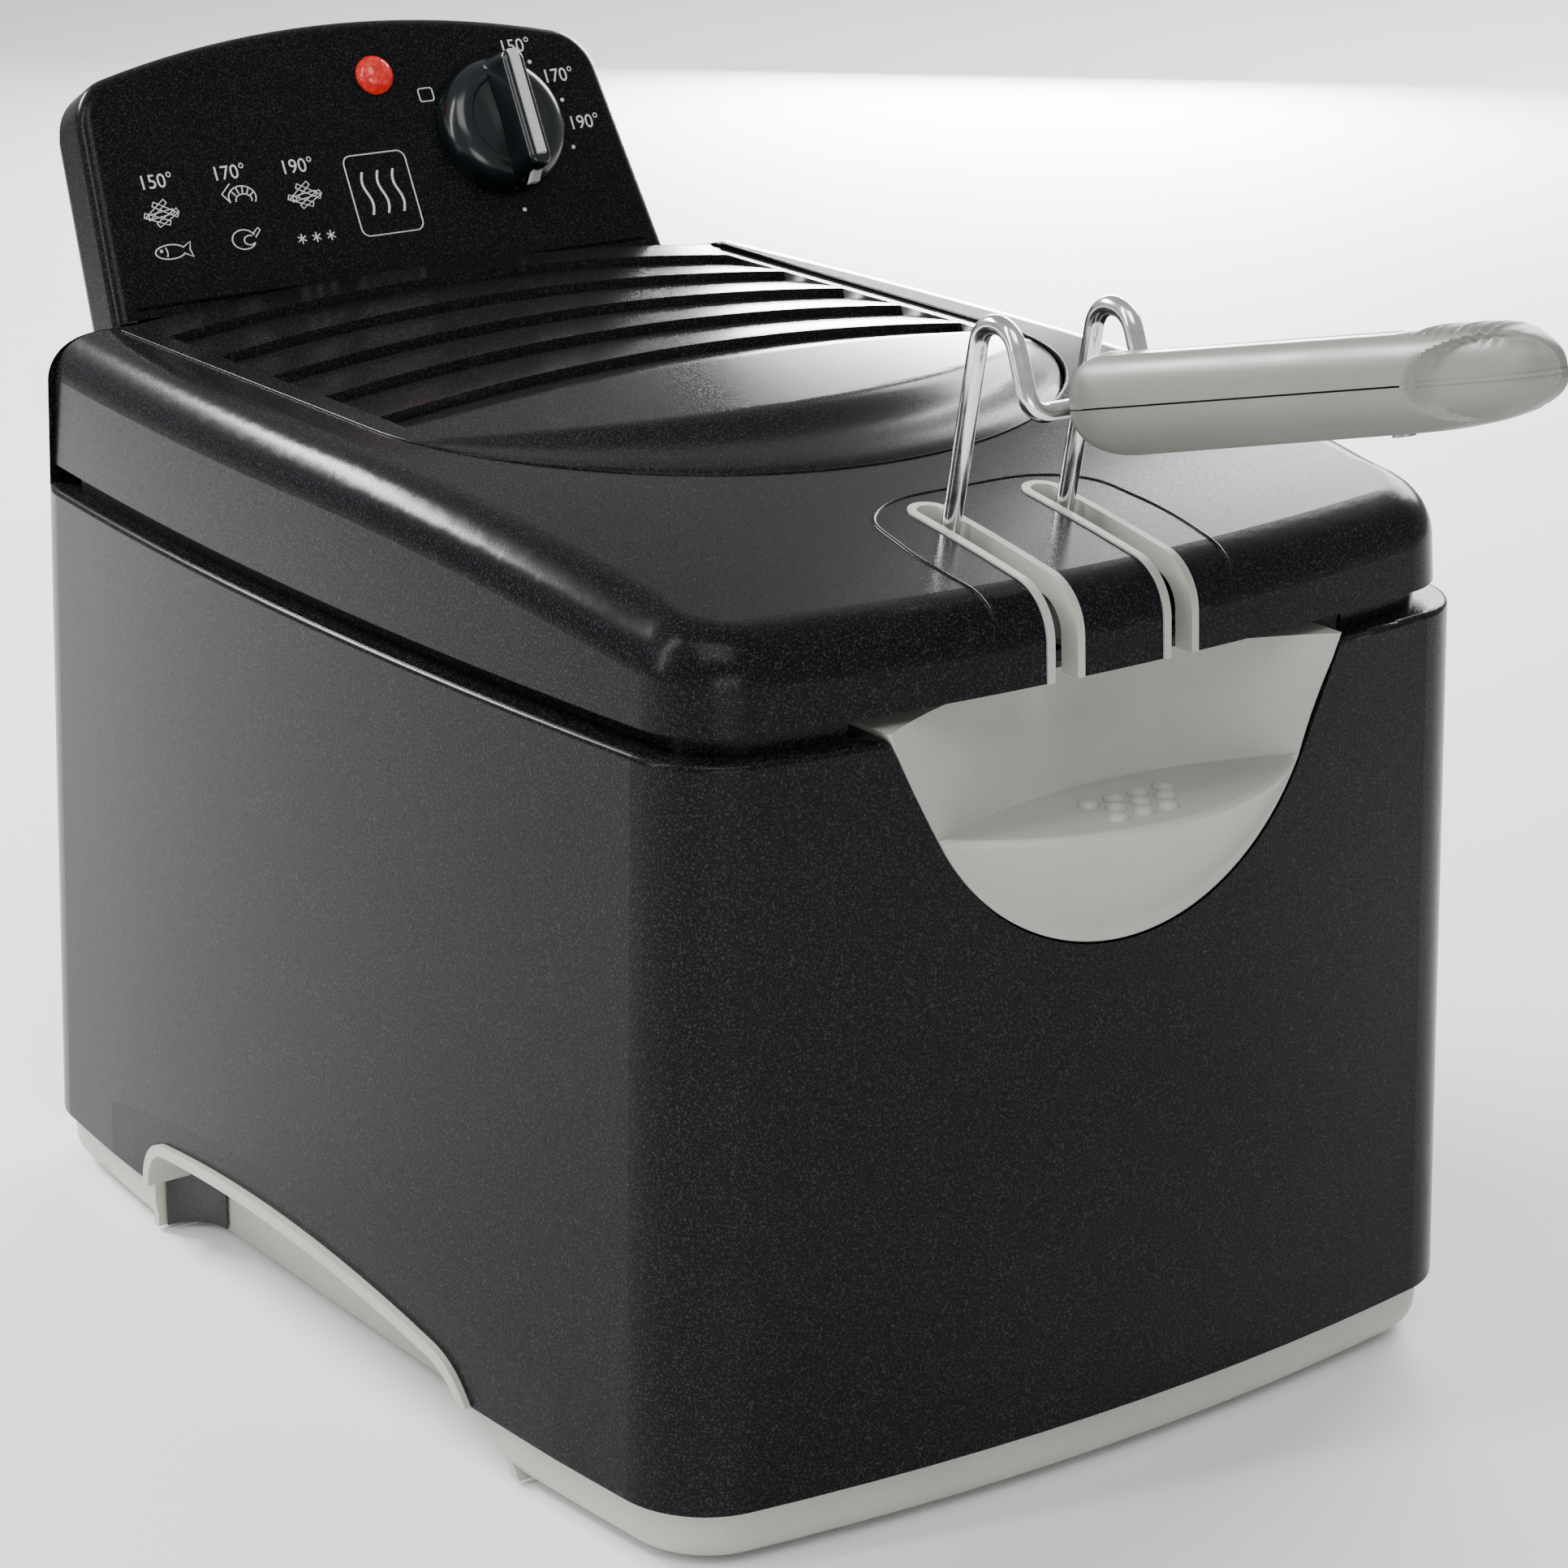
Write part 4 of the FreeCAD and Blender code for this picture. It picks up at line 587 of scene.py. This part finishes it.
# painted shade: the grip's grey plastic darkened to 0.45 of the base's grey, a shaded copy of the same
# material
GRIP_SHADED_LOOK = warm_grey("grip_grey_painted_shade", 0.45)
GRIP_LENGTH = 149.0
GRIP_TIP = 149.2            # where the rounding of the tip would close
GRIP_HALF = 10.9            # half its width
GRIP_FLAT = 0.80            # squareness of its section: 1 is an ellipse
TIP_START = 110             # its points lie closer together from here
TIP_STATIONS, SHAFT_STATIONS = 60, 34
REAR_STATIONS = [0.0, 0.4, 1.2, 2.4, 4, 6, 8.5, 11, 14]
GRIP_AROUND = 40
# height of a half, its taper, what is left of it at the rear, and the lengths of its rear and tip rounding
UPPER_HALF = (12.2, 0.011, 0.55, 9, 25.2)
LOWER_HALF = (12.1, 0.012, 0.30, 15, 45.2)
WIDTH_REAR, WIDTH_REAR_ROUND, WIDTH_TIP_ROUND, WIDTH_POWER = 0.72, 6, 23.2, 2.6
SCOOP_MIDDLE, SCOOP_LONG, SCOOP_TALL = 133.5, 20.5, 9.4
SCOOP_DEEP, SCOOP_EDGE, SCOOP_MOST, SCOOP_FADE = 2.9, 0.26, 0.6, 0.35
TOP_START, TOP_EDGE = 0.5, 0.2      # the part of the section that counts as its top
CHANNEL = (8, 106)          # the channel along the top
CHANNEL_HALF, CHANNEL_EDGE, CHANNEL_DEEP, CHANNEL_FADE = 4.6, 1.0, 0.7, 1.5
PAD = (112, 138)            # the ribbed thumb pad
PAD_HALF, PAD_EDGE, PAD_RIB, PAD_TALL, PAD_FADE = 7.2, 1.5, 3.2, 0.45, 2
SPLIT, SPLIT_TIP, SPLIT_STOP = 0.22, 0.05, 140
FIN_START, FIN_REACH = 112, 37.4
FIN_ROUND_START, FIN_ROUND = 126, 23.6
FIN_PROUD, FIN_HALF, FIN_STEPS = 0.15, 0.45, 90


def rounding(t, power=2.4):
    """A rounded end: 1 at t <= 0, falling to 0 at t = 1."""
    t = min(1.0, max(0.0, t))
    return (1 - t ** power) ** (1 / power)


def smooth(t):
    t = min(1.0, max(0.0, t))
    return t * t * (3 - 2 * t)


def between(u, ends, edge):
    """1 between two places along the grip, falling to 0 at both."""
    return smooth((u - ends[0]) / edge) * smooth((ends[1] - u) / edge)


def rear_rounding(u, left, length):
    return left + (1 - left) * rounding((length - u) / length)


def tip_rounding(u, length, power=2.4):
    return rounding((u - GRIP_TIP + length) / length, power)


def grip_height(u, upper):
    """Height of one half of the grip at a distance along it."""
    tall, taper, left, rear, tip = UPPER_HALF if upper else LOWER_HALF
    return (tall - taper * u) * rear_rounding(u, left, rear) * tip_rounding(u, tip)


def grip_width(u):
    """Half the grip's width at a distance along it."""
    rear = rear_rounding(u, WIDTH_REAR, WIDTH_REAR_ROUND)
    return GRIP_HALF * rear * tip_rounding(u, WIDTH_TIP_ROUND, WIDTH_POWER)


def scooped(x, u, v):
    """How far the flattened oval near the tip sinks the grip's side, towards the middle."""
    oval = ((u - SCOOP_MIDDLE) / SCOOP_LONG) ** 2 + (v / SCOOP_TALL) ** 2
    return math.copysign(min(abs(x) * SCOOP_MOST, SCOOP_DEEP * smooth((1 - oval) / SCOOP_EDGE)), x)


def top_relief(x, u, s):
    """The shallow channel and the ribs of the thumb pad; s is 1 at the top of the section."""
    top = smooth((s - TOP_START) / TOP_EDGE)
    channel = smooth((CHANNEL_HALF - abs(x)) / CHANNEL_EDGE) * between(u, CHANNEL, CHANNEL_FADE)
    pad = smooth((PAD_HALF - abs(x)) / PAD_EDGE) * between(u, PAD, PAD_FADE)
    ribs = math.sin(2 * math.pi * (u - PAD[0]) / PAD_RIB)
    return top * (pad * PAD_TALL * ribs - CHANNEL_DEEP * channel)


def grip_half(name, upper, node):
    """Half the handle's grip, with a shallow channel, a ribbed thumb pad and scooped sides."""
    sign = 1 if upper else -1
    stations = list(REAR_STATIONS)
    shaft = TIP_START - REAR_STATIONS[-1]
    stations += [REAR_STATIONS[-1] + shaft * i / SHAFT_STATIONS for i in range(1, SHAFT_STATIONS + 1)]
    stations += [TIP_START + (GRIP_LENGTH - TIP_START) * math.sin(math.pi / 2 * i / TIP_STATIONS)
                 for i in range(1, TIP_STATIONS + 1)]
    bm = bmesh.new()
    sections = []
    for u in stations:
        wide, tall = grip_width(u), grip_height(u, upper)
        split = SPLIT if u < SPLIT_STOP else SPLIT_TIP
        section = []
        for j in range(GRIP_AROUND + 1):
            c, s = math.cos(math.pi * j / GRIP_AROUND), math.sin(math.pi * j / GRIP_AROUND)
            x = wide * math.copysign(abs(c) ** GRIP_FLAT, c)
            v = tall * abs(s) ** GRIP_FLAT
            x -= scooped(x, u, v) * abs(c) ** SCOOP_FADE
            if upper:
                v += top_relief(x, u, s)
            spot = GRIP_START + GRIP_ALONG * u + GRIP_UP * (sign * (v + split)) + Vector((x, 0, 0))
            section.append(bm.verts.new(spot * MM))
        sections.append(section)
    for section, after in zip(sections, sections[1:]):
        bridge(bm, section, after)
    bm.faces.new(sections[0])
    bm.faces.new(sections[-1])
    bmesh.ops.remove_doubles(bm, verts=bm.verts, dist=0.01 * MM)
    piece(name, mesh_from(name, bm, 40), "handle", "grey_plastic", look=GRIP_SHADED_LOOK, replaced=(node,))


def grip_seam():
    """The thin fin between the grip's halves, which stands out at the tip."""
    bm = bmesh.new()
    low, high = [], []
    for i in range(FIN_STEPS + 1):
        turn = math.pi * i / FIN_STEPS
        u = FIN_START + FIN_REACH * math.sin(turn)
        side = 0 if 2 * i == FIN_STEPS else math.copysign(1, math.cos(turn))
        x = side * (GRIP_HALF * rounding((u - FIN_ROUND_START) / FIN_ROUND, WIDTH_POWER) + FIN_PROUD)
        spot = GRIP_START + GRIP_ALONG * u + Vector((x - scooped(x, u, 0), 0, 0))
        low.append(bm.verts.new((spot - GRIP_UP * FIN_HALF) * MM))
        high.append(bm.verts.new((spot + GRIP_UP * FIN_HALF) * MM))
    bm.faces.new(high)
    bm.faces.new(list(reversed(low)))
    bridge(bm, low, high)
    piece("grip_seam", mesh_from("grip_seam", bm), "handle", "grey_plastic", look=GRIP_SHADED_LOOK)


# ---------------------------------------------------------------- basket

BASKET_HALF, BASKET_FRONT, BASKET_REAR = 83.3, -92.3, 91.3
BASKET_FLOOR, BASKET_TOP = 78.7, 149.5
BASKET_CORNER, BASKET_SOLE = 21.5, 9.0
WIRE = 0.65
PITCH = 7.0                 # between the upright wires
LOOPS, LOOP_PITCH = 9, 7.4
SOLE_LOOP_RISE, SOLE_LOOP_SHRINK = 1.2, 5.5
CORNER_RIBS = (22.5, 45, 67.5)      # degrees round each corner
QUARTER = [math.radians(15 * step) for step in range(7)]
# the four round corners of a plan: which side, which end, and the angle that the corner starts at
QUARTERS = ((1, 1, 0), (-1, 1, 90), (-1, -1, 180), (1, -1, 270))


def basket_loop(level, shrink=0.0):
    """A level loop of the basket with round corners."""
    corner = BASKET_CORNER - shrink
    points = []
    for side, end, start in QUARTERS:
        cx = side * (BASKET_HALF - BASKET_CORNER)
        cy = (BASKET_REAR if end > 0 else BASKET_FRONT) - end * BASKET_CORNER
        for turn in QUARTER:
            angle = math.radians(start) + turn
            points.append((cx + corner * math.cos(angle), cy + corner * math.sin(angle), level))
    return points


def basket_rib(first, second, inward):
    """A wire down one wall, across the floor and up the opposite wall."""
    def down(foot, along):
        run = [Vector((foot.x, foot.y, BASKET_TOP))]
        for turn in QUARTER:
            low = Vector((foot.x, foot.y, BASKET_FLOOR + BASKET_SOLE * (1 - math.sin(turn))))
            run.append(low + along * BASKET_SOLE * (1 - math.cos(turn)))
        return run
    return down(first, inward) + list(reversed(down(second, -inward))), False


def spread(low, high):
    """Places from low to high, about one pitch apart."""
    count = int((high - low) / PITCH)
    return [low + (high - low) * i / count for i in range(count + 1)]


def basket():
    """The frying basket's welded wires, in place of the plain shell."""
    runs = [(basket_loop(BASKET_FLOOR + BASKET_SOLE + i * LOOP_PITCH), True) for i in range(LOOPS)]
    runs.append((basket_loop(BASKET_FLOOR + SOLE_LOOP_RISE, SOLE_LOOP_SHRINK), True))
    front, rear = BASKET_FRONT + BASKET_CORNER, BASKET_REAR - BASKET_CORNER
    reach = BASKET_HALF - BASKET_CORNER
    for y in spread(front, rear):
        runs.append(basket_rib(Vector((-BASKET_HALF, y, 0)), Vector((BASKET_HALF, y, 0)), Vector((1, 0, 0))))
    for x in spread(-reach, reach):
        runs.append(basket_rib(Vector((x, BASKET_FRONT, 0)), Vector((x, BASKET_REAR, 0)), Vector((0, 1, 0))))
    for turn in map(math.radians, CORNER_RIBS):
        for side in (1, -1):
            out = Vector((side * math.cos(turn), math.sin(turn), 0))
            near, far = Vector((side * reach, rear, 0)), Vector((-side * reach, front, 0))
            runs.append(basket_rib(near + out * BASKET_CORNER, far - out * BASKET_CORNER, -out))
    wire_curve("basket_wires", runs, WIRE, "basket", "basket_wire", ("basket_mesh",))


# ---------------------------------------------------------------- printing on the panel

PANEL_FOOT = Vector((0, 160.5, 243.0))
PANEL_LEAN = math.radians(28.5)
PANEL_ALONG = Vector((0, math.sin(PANEL_LEAN), math.cos(PANEL_LEAN)))
PANEL_OUT = Vector((0, -math.cos(PANEL_LEAN), math.sin(PANEL_LEAN)))
WORD_PROUD, LINE_PROUD = 0.06, 0.02
INK = moulded("white_ink", (0.72, 0.72, 0.71), 0.5, 0.3 * MM, 0.86)
INK_LINE, DOT_LINE, WAVE_LINE = 0.22, 0.35, 0.4
FONT_SIZE = 4.3 * 1.38      # capitals 4.3 mm tall
WORDS = (
    ("dial_150", "150°", 59.9, 64.0),
    ("dial_170", "170°", 72.0, 53.5),
    ("dial_190", "190°", 76.4, 38.3),
    ("row_150", "150°", -69.6, 36.3),
    ("row_170", "170°", -46.1, 36.3),
    ("row_190", "190°", -23.9, 35.7),
)
DOTS = ((63.5, 58.7), (71.0, 45.9), (70.2, 31.1), (47.4, 14.1))


def on_panel(across, along, proud):
    return PANEL_FOOT + Vector((across, 0, 0)) + PANEL_ALONG * along + PANEL_OUT * proud


def label(name, words, across, along):
    """A printed word centred at a place on the panel."""
    font = bpy.data.curves.new(name, "FONT")
    font.body = words
    font.size = FONT_SIZE * MM
    font.align_x = "CENTER"
    font.align_y = "CENTER"
    font.extrude = 0.01 * MM
    font.resolution_u = 6
    made = piece(name, font, "root", "pointer_grey", look=INK)
    turned = Matrix((Vector((1, 0, 0)), PANEL_ALONG, PANEL_OUT)).transposed().to_4x4()
    made.matrix_world = Matrix.Translation(on_panel(across, along, WORD_PROUD) * MM) @ turned


def ink_lines(name, strokes, line=INK_LINE):
    """Printed strokes; each is a list of (across, along) points and whether it is closed."""
    runs = [([on_panel(across, along, LINE_PROUD) for across, along in points], closed)
            for points, closed in strokes]
    wire_curve(name, runs, line, "root", "pointer_grey", look=INK, resolution=1)


def ring(x, y, across, along=None, count=20, start=0, stop=360):
    """Points of an ellipse or of a stretch of one."""
    along = across if along is None else along
    turns = [math.radians(start + (stop - start) * i / count) for i in range(count + (stop - start < 360))]
    return [(x + across * math.cos(t), y + along * math.sin(t)) for t in turns]


def round_frame(x, y, half_x, half_y, corner):
    points = []
    for side, end, start in QUARTERS:
        points += ring(x + side * (half_x - corner), y + end * (half_y - corner), corner, None, 4,
                       start, start + 90)
    return points


def fries(x, y):
    """A small heap of crossed chips."""
    bar = [(-4, -0.7), (4, -0.7), (4, 0.7), (-4, 0.7)]
    strokes = []
    for dx, dy, turn in ((-1.2, 1.4, 35), (1.6, 1.2, -30), (0, 0, 8), (-1.6, -1.3, -22), (1.8, -1.2, 28)):
        c, s = math.cos(math.radians(turn)), math.sin(math.radians(turn))
        strokes.append(([(x + dx + a * c - b * s, y + dy + a * s + b * c) for a, b in bar], True))
    return strokes


def fish(x, y):
    """An outline with a tail, an eye and a gill."""
    tail = [(x + 3.5, y + 0.9), (x + 6.0, y + 2.3), (x + 5.4, y), (x + 6.0, y - 2.3), (x + 3.5, y - 0.9)]
    return [(ring(x - 0.8, y, 4.8, 2.1, 18, 25, 335), False),
            (tail, False),
            (ring(x - 3.6, y + 0.5, 0.35, None, 6), True),
            (ring(x - 2.6, y, 0.8, 1.6, 6, -60, 60), False)]


def shrimp(x, y):
    """Two arcs joined by ribs, with a feeler."""
    strokes = [(ring(x, y, 4.4, 3.4, 14, -30, 200), False),
               (ring(x + 0.3, y - 0.8, 2.6, 1.8, 10, -20, 190), False)]
    for t in (0.4, 0.9, 1.4, 1.9, 2.4):
        c, s = math.cos(t), math.sin(t)
        strokes.append(([(x + 2.6 * c, y - 0.6 + 1.9 * s), (x + 4.3 * c, y + 3.3 * s)], False))
    strokes.append(([(x - 4.2, y - 1.0), (x - 6.2, y + 1.6), (x - 3.0, y + 4.4)], False))
    return strokes


def roast_bird(x, y):
    """A round body with its leg and bone."""
    return [(ring(x - 0.6, y, 3.8, 2.9, 16, 20, 330), False),
            (ring(x + 1.2, y - 0.4, 1.9, 1.4, 12, 60, 320), False),
            ([(x + 2.6, y + 1.3), (x + 4.6, y + 3.0), (x + 5.2, y + 2.2), (x + 3.2, y + 0.2)], False)]


def star(x, y, size=1.5):
    """Three crossed strokes."""
    strokes = []
    for t in (math.pi / 2, math.pi / 6, -math.pi / 6):
        dx, dy = size * math.cos(t), size * math.sin(t)
        strokes.append(([(x - dx, y - dy), (x + dx, y + dy)], False))
    return strokes


def steam(x, y, tall):
    """One upright wave."""
    steps = 12
    return ([(x + 0.9 * math.sin(2 * math.pi * i / steps), y + tall * (i / steps - 0.5))
             for i in range(steps + 1)], False)


def panel_print():
    """Dial numbers, dots and cooking pictograms."""
    for word in WORDS:
        label(*word)
    ink_lines("dial_dots", [(ring(x, y, 0.35, None, 8), True) for x, y in DOTS], DOT_LINE)
    ink_lines("dial_square", [(round_frame(25.1, 52.4, 2.4, 2.0, 0.8), True)])
    ink_lines("sign_fries_low", fries(-70.6, 26.8))
    ink_lines("sign_fish", fish(-70.1, 15.7))
    ink_lines("sign_shrimp", shrimp(-43.9, 28.7))
    ink_lines("sign_bird", roast_bird(-46.4, 16.4))
    ink_lines("sign_fries_high", fries(-24.0, 26.8))
    ink_lines("sign_frozen", [line for x in (-28.6, -23.8, -19.0) for line in star(x, 14.3)])
    ink_lines("steam_frame", [(round_frame(1.8, 24.6, 10.4, 12.2, 2.5), True)])
    ink_lines("steam_waves", [steam(x, 25, 13) for x in (-3.4, 1.8, 7.0)], WAVE_LINE)


# ---------------------------------------------------------------- studio

FLOOR_REACH = 6.0
WORLD_COLOR, WORLD_STRENGTH = (0.95, 0.96, 1.0, 1), 0.5
MIDDLE = (0, 0, 0.15)
# name, place, what it faces, size and power: the rear lights make the sheen on the lid and the louvres
LIGHTS = (
    ("left_strip", (-1.25, 0.1, 1.0), MIDDLE, (0.10, 1.6), 12),
    ("top_soft", (-0.5, -0.9, 1.7), MIDDLE, (1.0, 1.0), 14),
    ("front_fill", (-0.7, -1.7, 0.35), MIDDLE, (0.9, 0.5), 7),
    ("rear_right", (2.15, 1.1, 1.15), (0.05, 0.0, 0.24), (1.3, 0.9), 64),
    ("rear_low", (1.28, 1.42, 0.27), (0.06, 0.06, 0.24), (0.40, 0.34), 30),
    ("rear_high", (-0.58, 1.27, 1.12), (-0.12, 0.0, 0.24), (0.7, 0.20), 46),
)
VIEW_AZIMUTH, VIEW_ELEVATION = math.radians(-34.914), math.radians(18.815)
VIEW_DISTANCE = 1.2018
VIEW_TARGET = Vector((-1.47, 26.16, 124.96)) * MM


def stand(name, data, place, direction):
    """Puts a light or camera at a place, facing along a direction."""
    made = bpy.data.objects.new(name, data)
    made.location = place
    made.rotation_euler = direction.to_track_quat("-Z", "Y").to_euler()
    collection.objects.link(made)
    return made


def studio():
    """A pale floor, a pale surround and soft lights."""
    bm = bmesh.new()
    bm.faces.new([bm.verts.new((side * FLOOR_REACH, end * FLOOR_REACH, 0))
                  for side, end in ((-1, -1), (1, -1), (1, 1), (-1, 1))])
    floor = bpy.data.objects.new("floor", mesh_from("floor", bm))
    collection.objects.link(floor)
    look = Look("floor_paper", (0.93, 0.93, 0.93), 0.7)
    look.drive("Base Color", look.ramp(look.noise(0.2, 3.0), [(0.3, 0.92), (0.7, 0.94)]))
    floor.data.materials.append(look.material)

    world = bpy.data.worlds.new("pale_room")
    bpy.context.scene.world = world
    world.use_nodes = True
    surround = world.node_tree.nodes["Background"]
    surround.inputs["Color"].default_value = WORLD_COLOR
    surround.inputs["Strength"].default_value = WORLD_STRENGTH

    for name, place, aim, size, power in LIGHTS:
        lamp = bpy.data.lights.new(name, "AREA")
        lamp.shape = "RECTANGLE"
        lamp.size, lamp.size_y = size
        lamp.energy = power
        stand(name, lamp, place, Vector(aim) - Vector(place))


def camera():
    """The camera stands to the left of the front, a little above the lid."""
    level = math.cos(VIEW_ELEVATION)
    back = Vector((math.sin(VIEW_AZIMUTH) * level, -math.cos(VIEW_AZIMUTH) * level, math.sin(VIEW_ELEVATION)))
    lens = bpy.data.cameras.new("camera")
    lens.sensor_width = 36
    lens.lens = 100.64
    lens.shift_x = 0.0776
    lens.clip_start = 0.01
    bpy.context.scene.camera = stand("camera", lens, VIEW_TARGET + back * VIEW_DISTANCE, -back)


filter_cover()
cover_edge()
slot_emboss()
ledge_domes()
rim_upstand()
recess_shade()
grip_half("grip_top", True, "grip_upper")
grip_half("grip_bottom", False, "grip_lower")
grip_seam()
basket()
panel_print()
studio()
camera()
